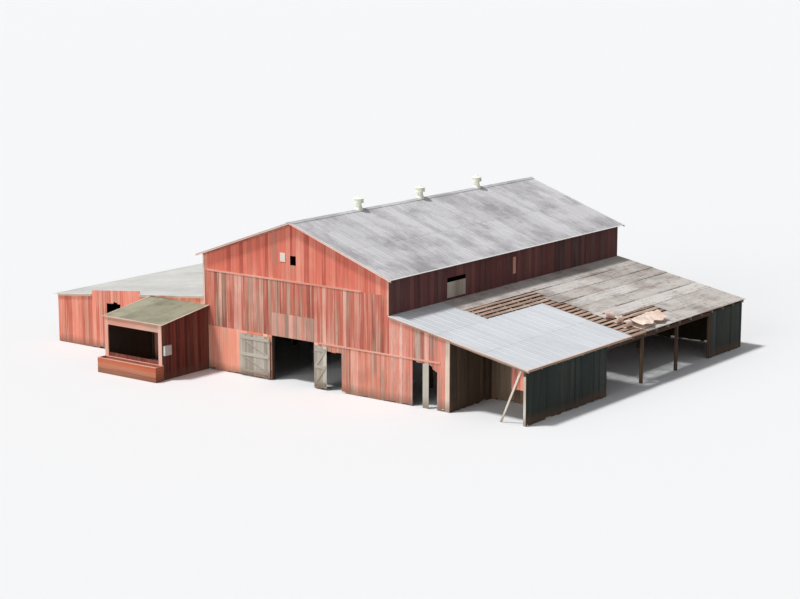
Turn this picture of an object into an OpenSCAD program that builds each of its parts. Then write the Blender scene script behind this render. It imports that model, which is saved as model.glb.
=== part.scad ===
// Red barn: a tall main barn with a lean-to on each side, a small front shed and two swing doors.
// Millimetres, +Z up. The front gable faces -Y. The origin is on the ground under the middle of
// the whole building. Inside the modules, x = 0 and y = 0 are the main barn's front left corner.

/* [Main barn] */
// Width of the main barn outside its boards
main_w = 12200; // [11800:50:13000]
// Length of one bay, from frame to frame
bay = 3600; // [3400:50:4000]
// Number of bays along the building
bays = 6; // [6:1:8]
// Height of the main roof over the outside of the side walls
eave_z = 6200; // [6000:50:6800]
// Height of the main roof at the ridge
ridge_z = 8350; // [8000:50:9200]
// How far the main roof reaches past the side walls
eave_out = 300; // [150:10:500]
// How far the main roof reaches past the gables
rake_out = 250; // [100:10:400]

/* [Timber] */
// Thickness of the wall boards
board_t = 28; // [20:1:40]
// Side of the main posts
post = 200; // [150:10:250]
// Side of the lean-to posts
side_post = 150; // [120:10:180]
// Depth of the tie beams
tie_d = 250; // [200:10:320]
// Reach of the knee braces along the ties and down the posts
knee = 800; // [500:10:1000]
// Depth of the plates and lean-to beams
plate_d = 180; // [140:10:240]
// Depth of the main and left rafters, measured upright
rafter_d = 180; // [140:10:220]
// Width of the main rafters
rafter_w = 90; // [60:5:140]
// Width of the lean-to rafters
side_rafter_w = 60; // [45:5:90]
// Depth of the purlins under the main and left roofs
purlin_d = 60; // [40:5:90]
// Width of the purlins
purlin_w = 140; // [100:10:200]
// Depth of the front wall girts, from the boards inward
girt_d = 60; // [40:5:100]
// Height of the front wall girts
girt_h = 150; // [100:10:200]
// Thickness of trim boards
trim_t = 25; // [18:1:35]
// Thickness of the roof sheets, over their ribs
sheet_t = 24; // [16:1:36]

/* [Front openings] */
// Left side of the big doorway, from the main barn's left corner
door_x = 4670; // [4500:10:4900]
// Width of the big doorway
door_w = 2800; // [2600:10:3000]
// Height of the big doorway
door_h = 2350; // [2300:10:2500]
// Top of the newer boards over the big doorway
patch_z = 3550; // [3200:10:4200]
// Left side of the small doorway
wicket_x = 8270; // [8100:10:8700]
// Width of the small doorway
wicket_w = 960; // [800:10:1100]
// Height of the small doorway
wicket_h = 1970; // [1800:10:2050]
// Height of the line where the gable boards start
gable_z = 5250; // [4900:10:5400]
// Left side of the loft hole in the gable
loft_x = 5950; // [5800:10:6050]
// Width of the loft hole
loft_w = 380; // [300:10:600]
// Sill height of the loft hole
loft_z = 6120; // [5900:10:6300]
// Height of the loft hole
loft_h = 480; // [350:10:600]
// Width of its shutter, which hangs open on the wall
shutter_w = 350; // [250:10:450]
// Height of the shutter
shutter_h = 450; // [350:10:550]
// Distance of the open shutter from the loft hole
shutter_gap = 300; // [100:10:400]
// How much higher than the hole the shutter hangs
shutter_up = 100; // [0:10:150]
// Start of the gable lap board, from the main barn's left corner
lap_start = 300; // [150:50:600]
// Distance of its other end from the right corner
lap_end = 1700; // [1400:50:2000]
// How far the low lap board starts beside the small doorway
low_lap_start = 470; // [300:10:600]
// How far the low lap board runs past the right lean-to's doorway
low_lap_end = 200; // [100:10:250]
// Width of the pale batten on the right wall
batten_w = 250; // [150:10:300]
// Height of that batten
batten_h = 900; // [600:10:1000]

/* [Swing doors] */
// Share of the doorway that the wide left leaf covers
leaf_split = 0.71; // [0.6:0.01:0.75]
// Height of the leaves above the ground
leaf_z = 100; // [80:10:200]
// Height of the leaves themselves
leaf_h = 2130; // [2000:10:2150]
// Thickness of the leaf boards
leaf_t = 25; // [20:1:32]
// Distance of the hinge axis in front of the wall
hinge_out = 70; // [70:1:100]
// Distance of the hinge axis beside the doorway
hinge_side = 50; // [40:5:80]
// Diameter of the hinge pins
pin_d = 16; // [12:1:20]
// Clearance of the pins in their eyes, all round
pin_clear = 0.5; // [0.3:0.1:0.8]
// Gap between the closed leaves
leaf_gap = 20; // [16:1:40]

/* [Right lean-to] */
// Width of the right lean-to outside its boards
right_w = 8000; // [7700:50:8400]
// Height of its roof at the main wall
right_hi = 4300; // [4200:10:4350]
// Height of its roof over the low wall
right_lo = 2750; // [2650:10:2850]
// How far its roof reaches past the low wall
right_out = 150; // [100:10:250]
// How far its roof reaches past the front and rear walls
right_rake = 100; // [50:10:200]
// Depth of its rafters, measured upright
right_rafter_d = 150; // [120:10:180]
// Number of rafter spaces in its roof
right_spaces = 18; // [12:1:24]
// Number of sheathing boards across its roof
sheathing_rows = 24; // [14:1:28]
// Width of a sheathing board
sheathing_w = 200; // [120:10:250]
// Width of its closed front wall
closed_w = 3650; // [3500:10:3900]
// Left side of its front doorway, from the main wall
side_door_x = 1430; // [1200:10:1600]
// Width of its front doorway
side_door_w = 1470; // [1300:10:1600]
// Height of its front doorway
side_door_h = 2200; // [2100:10:2300]
// Drop of the doorway's head in its right half, and at its right side
head_drop = [100, 330];
// Distance of the board that stands in that doorway from its left side
board_x = 610; // [500:10:700]
// Width of that board
board_w = 360; // [250:10:450]
// Number of boarded bays at the front of the low wall
front_bays = 2; // [1:1:2]
// Width of the boards that still hang beside the corner post
stub_w = 700; // [500:10:900]
// Height of their lower ends
stub_z = 1600; // [1400:10:1800]
// Width of its light corner board
corner_w = 260; // [100:10:300]
// Width of the main gable's corner boards
gable_corner_w = 110; // [80:10:150]
// Height of the rake board along its front
right_rake_h = 100; // [60:5:115]
// How far the foot of the corner post's brace stands from its head
brace_run = 1100; // [900:10:1300]

/* [Side loft opening] */
// Start of the opening over the right lean-to, from the front wall
hatch_y = 4860; // [4700:10:5000]
// Width of that opening
hatch_w = 1610; // [1400:10:1700]
// Sill height of that opening
hatch_z = 4400; // [4380:10:4450]
// Height of that opening
hatch_h = 1030; // [850:10:1050]
// Height of the weathered panel that fills its lower part
panel_h = 800; // [600:10:820]

/* [Roof damage] */
// Start of the gap where sheets are missing, from the front wall
gap_y = 4400; // [4000:50:4800]
// End of the front gap beside the newer sheets
strip_y = 9400; // [8800:50:9800]
// End of the gap towards the rear
old_y = 10400; // [10000:50:10800]
// How much further the gap reaches at the low edge
old_slant = 600; // [400:50:1000]
// Upper edge of the gap, from the main wall
gap_s = 1300; // [1100:50:1500]
// Upper edge of the newer sheets beside the gap
new_s = 2750; // [2500:50:3000]
// Upper edge of the torn hole
hole_s = 5900; // [5600:50:6200]
// Lower edge of the torn hole
hole_low_s = 7000; // [6900:50:7050]
// Rear end of the torn hole
hole_y = 15000; // [14700:50:15300]
// Radius of the curled sheet's bend
curl_r = 300; // [250:10:350]
// How far it stops short of the rear end of the hole
curl_short = 400; // [200:10:600]

/* [Left lean-to] */
// Width of the left lean-to outside its boards
left_w = 11100; // [10800:50:11500]
// Height of its roof at the main wall
left_hi = 3870; // [3850:10:4100]
// Height of its roof at the low edge
left_lo = 2700; // [2680:10:2850]
// How far its roof reaches past the low wall
left_out = 300; // [150:10:400]
// How far its roof reaches past the front wall
left_rake = 100; // [50:10:150]
// Height of the light boards under the roof's front edge
left_rake_h = 110; // [80:10:150]
// Number of rafter spaces in its roof
left_spaces = 12; // [10:1:18]
// Number of purlins on its rafters
left_purlins = 8; // [6:1:12]
// Right side of its front doorway, from the main barn
left_door_x = 6200; // [5900:10:6400]
// Width of its front doorway
left_door_w = 1050; // [900:10:1200]
// Height of its front doorway
left_door_h = 2600; // [2400:10:2650]
// How far the boards over its doorway stand above the roof
parapet_h = 180; // [80:10:260]
// How far those boards reach to the left of the doorway
parapet_left = 1150; // [800:10:1400]
// How far they reach to the right of the doorway
parapet_right = 1500; // [1000:10:1700]

/* [Front shed] */
// Left side of the shed, from the main barn's left corner
shed_x = 3800; // [3600:10:3900]
// How far the shed reaches past that corner to the right
shed_past = 300; // [200:10:400]
// Depth of the shed in front of the barn
shed_d = 3500; // [3300:10:3800]
// Height of its roof at the barn
shed_hi = 3430; // [3380:10:3440]
// Height of its roof at the front wall
shed_lo = 2930; // [2850:10:3000]
// How far its roof reaches past its walls
shed_out = 100; // [50:10:200]
// Depth of its rafters, measured upright
shed_rafter_d = 100; // [80:10:120]
// Side of its posts
shed_post = 100; // [80:10:120]
// Width of its front opening
bay_opening_w = 3560; // [3300:10:3600]
// Sill height of its front opening
bay_sill_z = 1000; // [950:10:1100]
// Top of its front opening
bay_head_z = 2480; // [2300:10:2500]
// Width of the light boards at its sides
shed_trim_w = 240; // [150:10:260]
// Depth of the feed bunk in front of it, front to back
bunk_d = 600; // [500:10:800]
// Height of the feed bunk
bunk_h = 800; // [700:10:850]
// Height of the bunk's floor
bunk_floor_z = 350; // [200:10:450]
// Width of the small box on the shed's right wall
box_w = 480; // [300:10:600]
// Height of that box
box_h = 500; // [300:10:600]
// Depth of that box
box_deep = 150; // [100:10:200]
// Distance of the box from the shed's front
box_in = 70; // [30:10:200]
// Height of the box above the ground
box_z = 1300; // [1000:10:1500]

/* [Ridge ventilators] */
// Height of a ventilator above the ridge
vent_h = 670; // [600:10:760]
// Radius of its head
vent_r = 275; // [240:5:320]
// Radius of its throat
throat_r = 150; // [120:5:180]
// Number of louvre rings in its head
vent_rings = 3; // [2:1:5]

/* [Hidden] */
$fn = 48;
// Joint between two boards that lie side by side, and between a slanted face and its seat
seam = 0.3;
length = bays * bay;
main_mid = main_w / 2;
main_rise = (ridge_z - eave_z) / main_mid;
right_x = main_w + right_w;
right_fall = (right_hi - right_lo) / right_w;
left_fall = (left_hi - left_lo) / (left_w + left_out);
shed_fall = (shed_hi - shed_lo) / shed_d;
closed_x = main_w + closed_w;
door_end = door_x + door_w;
wicket_end = wicket_x + wicket_w;
loft_end = loft_x + loft_w;
// Whole building on the ground, for the origin
mid_x = (right_x + right_out - left_w - left_out) / 2;
mid_y = (length + rake_out - shed_d - bunk_d) / 2;
// Undersides of the rafters over the walls, and what they rest on
plate_z = main_low(board_t) - plate_d;
tie_z = plate_z - tie_d;
side_wall_x = right_x - board_t;
low_post_x = side_wall_x - side_post;
low_plate_z = right_low(side_wall_x) - plate_d;
mid_post_x = closed_x - side_post;
mid_beam_z = right_low(closed_x) - plate_d;
ledger_t = 60;
// Height of trim boards above the shed's roof
shed_clear = 20;
brace_t = 50;
// How far rafters and sheathing stay inside the low edge of the sheets, behind the eave board
tail = trim_t + 20;
right_ledger_z = right_low(main_w + ledger_t) - plate_d;
left_ledger_z = left_low(-ledger_t) - plate_d;
left_post_x = -left_w + board_t;
left_plate_z = left_low(left_post_x) - plate_d;
left_mid_x = -left_w / 2;
parapet_x = [-left_door_x - left_door_w - parapet_left, -left_door_x + parapet_right];
left_mid_z = left_low(left_mid_x - side_post / 2) - plate_d;
shed_ledger_z = shed_low(-shed_post) - plate_d;
shed_header_z = shed_low(-shed_d + board_t) - plate_d;
strap_t = 6;
strap_h = 50;
eye_r = pin_d / 2 + 7;
eye_h = 60;
edge_clear = 20;
ledge_h = 150;
leaf_low_hinge = 350;
leaf_high_hinge = leaf_h - leaf_low_hinge;
span = door_w + 2 * hinge_side;
left_leaf_w = span * leaf_split - leaf_gap / 2;
right_leaf_w = span * (1 - leaf_split) - leaf_gap / 2;

// Heights of the roofs at a place, and of the timbers that lie a depth below them
function main_top(x) = ridge_z - abs(x - main_mid) * main_rise;
function main_low(x) = main_top(x) - sheet_t - purlin_d - rafter_d - 3 * seam;
function right_top(x) = right_hi - (x - main_w) * right_fall;
function right_low(x) = right_top(x) - sheet_t - board_t - right_rafter_d - 3 * seam;
function left_top(x) = left_hi + x * left_fall;
function left_low(x) = left_top(x) - sheet_t - purlin_d - rafter_d - 3 * seam;
function shed_top(y) = shed_hi + y * shed_fall;
function shed_low(y) = shed_top(y) - sheet_t - shed_rafter_d - 2 * seam;
// Middle of frame or rafter n of a row, with the end ones inside the boards
function row_y(n, last, size) =
    n == 0 ? board_t + size / 2 :
    n == last ? length - board_t - size / 2 :
    n * length / last;

// Moves the main barn's front left corner to its place in the frame
module place() translate([-mid_x, -mid_y, 0]) children();

// Box between two x, two y and two z
module block(x, y, z) translate([x[0], y[0], z[0]]) cube([x[1] - x[0], y[1] - y[0], z[1] - z[0]]);

// Cross-section in x and z, drawn out between two y
module run_y(y) translate([0, y[1], 0]) rotate([90, 0, 0]) linear_extrude(y[1] - y[0]) children();

// Cross-section in y and z, drawn out between two x
module run_x(x) translate([x[0], 0, 0]) rotate([90, 0, 90]) linear_extrude(x[1] - x[0]) children();

// Four-sided section with its own heights at both ends
module quad(x, low, high)
    polygon([[x[0], low[0]], [x[1], low[1]], [x[1], high[1]], [x[0], high[0]]]);

// Layers that follow each roof, from a depth below its top
module main_layer(x, top, deep)
    quad(x, [for (p = x) main_top(p) - top - deep], [for (p = x) main_top(p) - top]);
module right_layer(x, top, deep)
    quad(x, [for (p = x) right_top(p) - top - deep], [for (p = x) right_top(p) - top]);
module left_layer(x, top, deep)
    quad(x, [for (p = x) left_top(p) - top - deep], [for (p = x) left_top(p) - top]);
module shed_layer(y, top, deep)
    quad(y, [for (p = y) shed_top(p) - top - deep], [for (p = y) shed_top(p) - top]);

// Puts a timber on every frame line
module at_frames(size) for (n = [0:bays]) translate([0, row_y(n, bays, size), 0]) children();

// Main frame
module main_posts()
    color("saddlebrown") place() at_frames(post)
        for (x = [board_t, door_x - post, door_end, main_w - board_t - post])
            block([x, x + post], [-post / 2, post / 2], [0, tie_z]);

module main_ties()
    color("saddlebrown") place() at_frames(post)
        block([board_t, main_w - board_t], [-post / 2, post / 2], [tie_z, plate_z]);

// Knee braces between the posts and the tie beams, flush with their rear faces
module main_braces() {
    wide = 70;
    across = 150;
    color("saddlebrown") place() at_frames(post) run_y([post / 2 - wide, post / 2])
        for (x = [[board_t + post, 1], [door_x, 1], [door_end + post, 1],
            [door_x - post, -1], [door_end, -1], [main_w - board_t - post, -1]])
            polygon([[x[0], tie_z - knee], [x[0] + x[1] * knee, tie_z],
                [x[0] + x[1] * (knee - across), tie_z], [x[0], tie_z - knee + across]]);
}

module main_plates()
    color("saddlebrown") place()
        for (side = [0, 1]) translate([side * main_w, 0, 0]) mirror([side, 0, 0])
            run_y([board_t, length - board_t]) quad([board_t, board_t + post],
                [plate_z, plate_z], [main_low(board_t), main_low(board_t + post)]);

module queen_posts()
    color("saddlebrown") place() at_frames(rafter_w)
        for (x = [door_x - post, door_end])
            run_y([-rafter_w / 2, rafter_w / 2]) quad([x, x + post],
                [plate_z, plate_z], [main_low(x), main_low(x + post)]);

module main_rafters()
    color("saddlebrown") place() at_frames(rafter_w)
        for (x = [[board_t, main_mid - seam / 2], [main_mid + seam / 2, main_w - board_t]])
            run_y([-rafter_w / 2, rafter_w / 2]) main_layer(x, sheet_t + purlin_d + 2 * seam, rafter_d);

module main_purlins() {
    rows = 5;
    step = (main_mid - board_t - purlin_w - 2 * seam) / (rows - 1);
    color("peru") place()
        for (side = [0, 1], n = [0:rows - 1])
            translate([side * main_w, 0, 0]) mirror([side, 0, 0]) run_y([board_t, length - board_t])
                main_layer([board_t + n * step, board_t + n * step + purlin_w], sheet_t + seam,
                    purlin_d);
}

// Girts behind the front boards, and the lintel over the big doorway
module front_girts()
    color("saddlebrown") place() {
        for (x = [[board_t + post, door_x - post], [door_end + post, main_w - board_t - post]])
            for (z = [door_h, (door_h + gable_z) / 2, gable_z - girt_h])
                block(x, [board_t, board_t + girt_d], [z, z + girt_h]);
        block([door_x, door_end], [board_t, board_t + post], [door_h, door_h + post]);
    }

// Front wall of the main barn, in the three bands that the boards form
module front_lower_boards()
    color("indianred") place() {
        block([0, door_x], [0, board_t], [0, door_h]);
        block([door_end, wicket_x], [0, board_t], [0, door_h]);
        block([wicket_x + seam, wicket_end - seam], [0, board_t], [wicket_h, door_h]);
        block([wicket_end, main_w], [0, board_t], [0, door_h]);
    }

module front_upper_boards()
    color("indianred") place() {
        block([0, door_x], [0, board_t], [door_h, gable_z]);
        block([door_x + seam, door_end - seam], [0, board_t], [patch_z, gable_z]);
        block([door_end, main_w], [0, board_t], [door_h, gable_z]);
    }

module door_head_boards()
    color("rosybrown") place()
        block([door_x + seam, door_end - seam], [0, board_t], [door_h, patch_z - seam]);

module front_gable_boards()
    color("indianred") place() run_y([0, board_t]) {
        main_fill([0, loft_x], [gable_z, gable_z]);
        main_fill([loft_end, main_w], [gable_z, gable_z]);
        quad([loft_x + seam, loft_end - seam], [gable_z, gable_z], [loft_z, loft_z]);
        polygon([[loft_x + seam, loft_z + loft_h], [loft_end - seam, loft_z + loft_h],
            [loft_end - seam, main_top(loft_end - seam) - sheet_t - seam],
            [main_mid, ridge_z - sheet_t - seam],
            [loft_x + seam, main_top(loft_x + seam) - sheet_t - seam]]);
    }

// Wall section from two heights up to the underside of the main roof
module main_fill(x, low) quad(x, low, [for (p = x) main_top(p) - sheet_t - seam]);

// Side walls of the main barn above the lean-to roofs, with the loft opening on the right
module main_side_boards() {
    inner = main_w - board_t;
    sill = [right_ledger_z, right_ledger_z];
    head = hatch_z + hatch_h;
    color("brown") place() {
        run_y([board_t, length - board_t]) main_fill([0, board_t], [left_ledger_z, left_ledger_z]);
        run_y([board_t, hatch_y]) main_fill([inner, main_w], sill);
        run_y([hatch_y + hatch_w, length - board_t]) main_fill([inner, main_w], sill);
        block([inner, main_w], [hatch_y + seam, hatch_y + hatch_w - seam], [sill[0], hatch_z]);
        run_y([hatch_y + seam, hatch_y + hatch_w - seam])
            main_fill([inner, main_w], [head, head]);
    }
}

module main_rear_boards()
    color("indianred") place() run_y([length - board_t, length])
        polygon([[0, 0], [main_w, 0], [main_w, eave_z - sheet_t - seam],
            [main_mid, ridge_z - sheet_t - seam], [0, eave_z - sheet_t - seam]]);

// Light boards under the rakes, at the gable's corners and along the laps of the front wall
module main_trim() {
    rake_h = 150;
    lap_h = 80;
    color("mistyrose") place() {
        for (y = [[-trim_t, 0], [length, length + trim_t]])
            for (x = [[0, main_mid - seam / 2], [main_mid + seam / 2, main_w]])
                run_y(y) main_layer(x, sheet_t + seam, rake_h);
        for (x = [[0, gable_corner_w, shed_hi + shed_clear],
            [main_w - gable_corner_w, main_w, right_hi]])
            run_y([-trim_t, 0]) quad([x[0], x[1]], [x[2], x[2]],
                [for (p = [x[0], x[1]]) main_top(p) - sheet_t - rake_h - 2 * seam]);
        block([lap_start, main_w - lap_end], [-trim_t, 0], [gable_z, gable_z + lap_h]);
        block([wicket_x - low_lap_start, main_w + side_door_x + side_door_w + low_lap_end],
            [-trim_t, 0], [door_h - lap_h / 2, door_h + lap_h / 2]);
        block([main_w, main_w + trim_t], [3 * bay, 3 * bay + batten_w],
            [hatch_z + panel_h / 2, hatch_z + panel_h / 2 + batten_h]);
    }
}

module loft_shutter()
    color("whitesmoke") place()
        block([loft_x - shutter_gap - shutter_w, loft_x - shutter_gap], [-trim_t, 0],
            [loft_z + loft_h - shutter_h + shutter_up, loft_z + loft_h + shutter_up]);

module side_hatch_panel()
    color("darkgray") place()
        block([main_w - board_t, main_w], [hatch_y + 2 * seam, hatch_y + hatch_w - 2 * seam],
            [hatch_z, hatch_z + panel_h]);

// Main roof
module main_roof()
    color("silver") place()
        for (x = [[-eave_out, main_mid - seam / 2], [main_mid + seam / 2, main_w + eave_out]])
            run_y([-rake_out, length + rake_out]) main_layer(x, 0, sheet_t);

cap_t = 12;
cap_w = 220;
module ridge_cap()
    color("silver") place()
        for (x = [[main_mid - cap_w, main_mid - seam / 2], [main_mid + seam / 2, main_mid + cap_w]])
            run_y([-rake_out, length + rake_out]) main_layer(x, -cap_t - seam, cap_t);

// Ventilator outline: flared foot, throat, louvre rings and a shallow cap with a knob
function vent_outline() =
    let (foot_r = throat_r * 1.5, foot = vent_h * 0.25, head = vent_h * 0.5,
        cap = vent_h * 0.8, ring = (cap - head) / vent_rings)
    concat(
        [[0, -foot_r], [foot_r, -foot_r], [foot_r, 0], [throat_r, foot], [throat_r, head]],
        [for (n = [0:vent_rings - 1], p = [[vent_r, 0], [vent_r, 0.15], [vent_r - 40, 0.6],
            [vent_r - 40, 1]]) [p[0], head + (n + p[1]) * ring]],
        [[vent_r + 25, cap], [vent_r + 25, cap + 15], [60, vent_h - 40], [40, vent_h], [0, vent_h]]);

module ridge_ventilators() {
    cap_z = ridge_z + cap_t + 2 * seam;
    reach = main_mid / 4;
    color("white") place()
        for (n = [1:3]) translate([0, n * length / 4, 0]) difference() {
            translate([main_mid, 0, cap_z]) rotate_extrude() polygon(vent_outline());
            run_y([-vent_r, vent_r]) polygon([[main_mid, cap_z],
                [main_mid + reach, cap_z - reach * main_rise], [main_mid + reach, eave_z],
                [main_mid - reach, eave_z], [main_mid - reach, cap_z - reach * main_rise]]);
        }
}

// Swing doors. A leaf is drawn closed on the +x side of its hinge axis, then turned open.
module at_left_leaf() translate([door_x - hinge_side, -hinge_out, leaf_z]) rotate(180) children();
module at_right_leaf()
    translate([door_end + hinge_side, -hinge_out, leaf_z]) rotate(180) mirror([1, 0, 0]) children();

module leaf_boards(wide)
    block([edge_clear, wide], [strap_t / 2, strap_t / 2 + leaf_t], [0, leaf_h]);

module leaf_ledges(wide) {
    back = [strap_t / 2 + leaf_t, strap_t / 2 + leaf_t + trim_t];
    inset = 60;
    low = 120;
    x = [edge_clear + inset, wide - inset];
    rows = [low, (leaf_h - ledge_h) / 2, leaf_h - ledge_h - low];
    for (z = rows) block(x, back, [z, z + ledge_h]);
    for (n = [0, 1]) run_y(back) let (z = [rows[n] + ledge_h + seam, rows[n + 1] - seam])
        polygon([[x[0], z[0]], [x[0] + ledge_h, z[0]], [x[1], z[1]], [x[1] - ledge_h, z[1]]]);
}

module leaf_hinges(wide) {
    reach = 0.7;
    for (z = [leaf_low_hinge, leaf_high_hinge]) translate([0, 0, z]) difference() {
        union() {
            cylinder(r = eye_r, h = eye_h);
            block([0, wide * reach], [-strap_t / 2, strap_t / 2],
                [(eye_h - strap_h) / 2, (eye_h + strap_h) / 2]);
        }
        translate([0, 0, -1]) cylinder(d = pin_d + 2 * pin_clear, h = eye_h + 2);
    }
}

module door_pintles() {
    arm = pin_d;
    under = 1;
    color("dimgray") place()
        for (x = [door_x - hinge_side, door_end + hinge_side], z = [leaf_low_hinge, leaf_high_hinge])
            translate([x, 0, leaf_z + z - under]) {
                translate([0, -hinge_out, -arm]) cylinder(d = pin_d, h = arm + eye_h + 10);
                block([-arm / 2, arm / 2], [-hinge_out, 0], [-arm, 0]);
            }
}

module left_leaf_boards() color("darkgray") place() at_left_leaf() leaf_boards(left_leaf_w);
module left_leaf_ledges() color("gray") place() at_left_leaf() leaf_ledges(left_leaf_w);
module left_leaf_hinges() color("dimgray") place() at_left_leaf() leaf_hinges(left_leaf_w);
module right_leaf_boards() color("darkgray") place() at_right_leaf() leaf_boards(right_leaf_w);
module right_leaf_ledges() color("gray") place() at_right_leaf() leaf_ledges(right_leaf_w);
module right_leaf_hinges() color("dimgray") place() at_right_leaf() leaf_hinges(right_leaf_w);

// Right lean-to frame: a row of posts beside the closed aisle and a row in the low wall
module right_posts()
    color("saddlebrown") place() {
        at_frames(side_post) block([mid_post_x, closed_x], [-side_post / 2, side_post / 2],
            [0, mid_beam_z]);
        for (n = [1:bays]) translate([0, row_y(n, bays, side_post), 0])
            block([low_post_x, side_wall_x], [-side_post / 2, side_post / 2], [0, low_plate_z]);
    }

module right_beams()
    color("saddlebrown") place() run_y([board_t, length - board_t]) {
        right_beam([main_w, main_w + ledger_t], right_ledger_z);
        right_beam([mid_post_x, closed_x], mid_beam_z);
        right_beam([low_post_x, side_wall_x], low_plate_z);
    }
module right_beam(x, z) quad(x, [z, z], [for (p = x) right_low(p)]);

module right_rafters()
    color("peru") place()
        for (n = [0:right_spaces]) let (y = row_y(n, right_spaces, side_rafter_w))
            run_y([y - side_rafter_w / 2, y + side_rafter_w / 2])
                right_layer([main_w, right_x + right_out - tail], sheet_t + board_t + 2 * seam,
                    right_rafter_d);

module right_sheathing() {
    step = (right_w + right_out - sheathing_w - tail) / (sheathing_rows - 1);
    color("tan") place() run_y([board_t, length - board_t])
        for (n = [0:sheathing_rows - 1])
            right_layer([main_w + n * step, main_w + n * step + sheathing_w], sheet_t + seam, board_t);
}

// Front of the right lean-to: closed beside the barn, with a doorway whose right half is lower
module right_fill(x, low) quad(x, low, [for (p = x) right_top(p) - sheet_t - seam]);
module right_front_boards() {
    left = main_w + side_door_x;
    step = left + board_x + board_w;
    right = left + side_door_w;
    color("lightcoral") place() run_y([0, board_t]) {
        right_fill([main_w, left], [0, 0]);
        right_fill([left + seam, step - seam], [side_door_h, side_door_h]);
        right_fill([step, right - seam], [side_door_h - head_drop[0], side_door_h - head_drop[1]]);
        right_fill([right, closed_x], [0, 0]);
    }
    // Remains of the boards in the open bay, on the back of the brace
    color("lightcoral") place() run_y([board_t + brace_t, 2 * board_t + brace_t])
        quad([low_post_x - stub_w, low_post_x - seam], [stub_z, stub_z],
            [for (x = [low_post_x - stub_w, low_post_x - seam]) right_low(x)]);
}
module right_door_board() {
    left = main_w + side_door_x + board_x;
    color("darkgray") place()
        block([left, left + board_w - seam], [0, board_t], [0, side_door_h]);
}

// Low wall: boarded at both ends and open between them
module right_side_boards()
    color("maroon") place()
        for (y = [[0, front_bays * bay], [(bays - 1) * bay, length - board_t]])
            block([side_wall_x, right_x], y, [0, right_low(right_x)]);

module right_rear_boards()
    color("indianred") place() run_y([length - board_t, length]) right_fill([main_w, right_x], [0, 0]);

// Painted cross wall behind the open front bay, on the front of the first inner posts
module right_cross_wall() {
    y = [bay - side_post / 2 - board_t, bay - side_post / 2];
    color("firebrick") place() run_y(y) {
        quad([closed_x + board_t, low_post_x - seam], [0, 0],
            [for (x = [closed_x + board_t, low_post_x - seam])
                right_top(x) - sheet_t - board_t - 2 * seam]);
        quad([low_post_x, side_wall_x], [0, 0], [low_plate_z, low_plate_z]);
    }
}

module right_partition()
    color("sienna") place()
        block([closed_x, closed_x + board_t], [0, bay - side_post / 2],
            [0, right_low(closed_x + board_t)]);

// Pale corner post of the open front bay, and its slanting brace
module right_corner_post() {
    brace_w = 110;
    brace_in = 210;
    head = low_post_x - brace_in;
    foot = head - brace_run;
    color("antiquewhite") place() {
        block([low_post_x, side_wall_x], [board_t, board_t + side_post], [0, low_plate_z]);
        run_y([board_t, board_t + brace_t]) polygon([[foot, 0], [foot + brace_w, 0],
            [head + brace_w, right_low(head + brace_w)], [head, right_low(head)]]);
    }
}

// Light boards of the right lean-to: along its front rake, at the corner of its closed front and
// along the eave of the newer sheets
module right_trim() {
    edge = right_x + right_out - tail;
    color("mistyrose") place() {
        run_y([-trim_t, 0]) {
            right_layer([main_w, closed_x], sheet_t + seam, right_rake_h);
            quad([closed_x - corner_w, closed_x], [0, 0], [for (x = [closed_x - corner_w, closed_x])
                right_top(x) - sheet_t - right_rake_h - 2 * seam]);
        }
        run_y([board_t - trim_t, board_t])
            right_layer([closed_x + seam, edge - seam], sheet_t + seam, right_rake_h);
        run_y([board_t - trim_t, strip_y])
            right_layer([edge, edge + trim_t], sheet_t + seam, right_rake_h);
    }
}

// Right roof. New sheets cover its front, a strip is bare to the sheathing, old sheets do the rest.
module right_new_sheets()
    color("white") place() {
        run_y([-right_rake, gap_y]) right_layer([main_w, right_x + right_out], 0, sheet_t);
        run_y([gap_y + seam, strip_y]) right_layer([main_w + new_s, right_x + right_out], 0, sheet_t);
    }

module right_old_sheets() {
    rear = length + right_rake;
    reach = right_w + right_out;
    color("rosybrown") place() {
        run_y([gap_y + seam, rear]) right_layer([main_w, main_w + gap_s - seam], 0, sheet_t);
        intersection() {
            run_y([old_y, rear]) right_layer([main_w + gap_s, main_w + hole_s - seam], 0, sheet_t);
            linear_extrude(right_hi) polygon([[main_w + gap_s, old_y],
                [main_w + hole_s, old_y + old_slant * (hole_s - gap_s) / (reach - gap_s)],
                [main_w + hole_s, rear], [main_w + gap_s, rear]]);
        }
        run_y([hole_y, rear]) right_layer([main_w + hole_s, main_w + reach], 0, sheet_t);
        run_y([old_y + old_slant, hole_y - seam])
            right_layer([main_w + hole_low_s, main_w + reach], 0, sheet_t);
    }
}

// Loose sheet that has curled up over the low edge of the hole
module curled_sheet() {
    skin = 12;
    flat = 400;
    turn = 150;
    inset = 60;
    start = main_w + hole_low_s + inset;
    bend = start + flat;
    steps = 12;
    rise = right_top(bend);
    tilt = atan(right_fall);
    inside = [for (n = [0:steps]) let (a = turn * n / steps - tilt)
        [bend + curl_r * (sin(a) + sin(tilt)), rise + curl_r * (cos(tilt) - cos(a))]];
    outside = [for (n = [steps:-1:0]) let (a = turn * n / steps - tilt)
        [bend + curl_r * sin(tilt) + (curl_r - skin) * sin(a),
            rise + curl_r * cos(tilt) - (curl_r - skin) * cos(a)]];
    color("mistyrose") place() run_y([old_y + old_slant, hole_y - curl_short])
        translate([0, seam]) polygon(concat([[start, right_top(start)]], inside, outside,
            [[start, right_top(start) + skin]]));
}

// Left lean-to
module left_posts()
    color("saddlebrown") place() at_frames(side_post) {
        block([left_mid_x - side_post / 2, left_mid_x + side_post / 2],
            [-side_post / 2, side_post / 2], [0, left_mid_z]);
        block([left_post_x, left_post_x + side_post],
            [-side_post / 2, side_post / 2], [0, left_plate_z]);
    }

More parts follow.
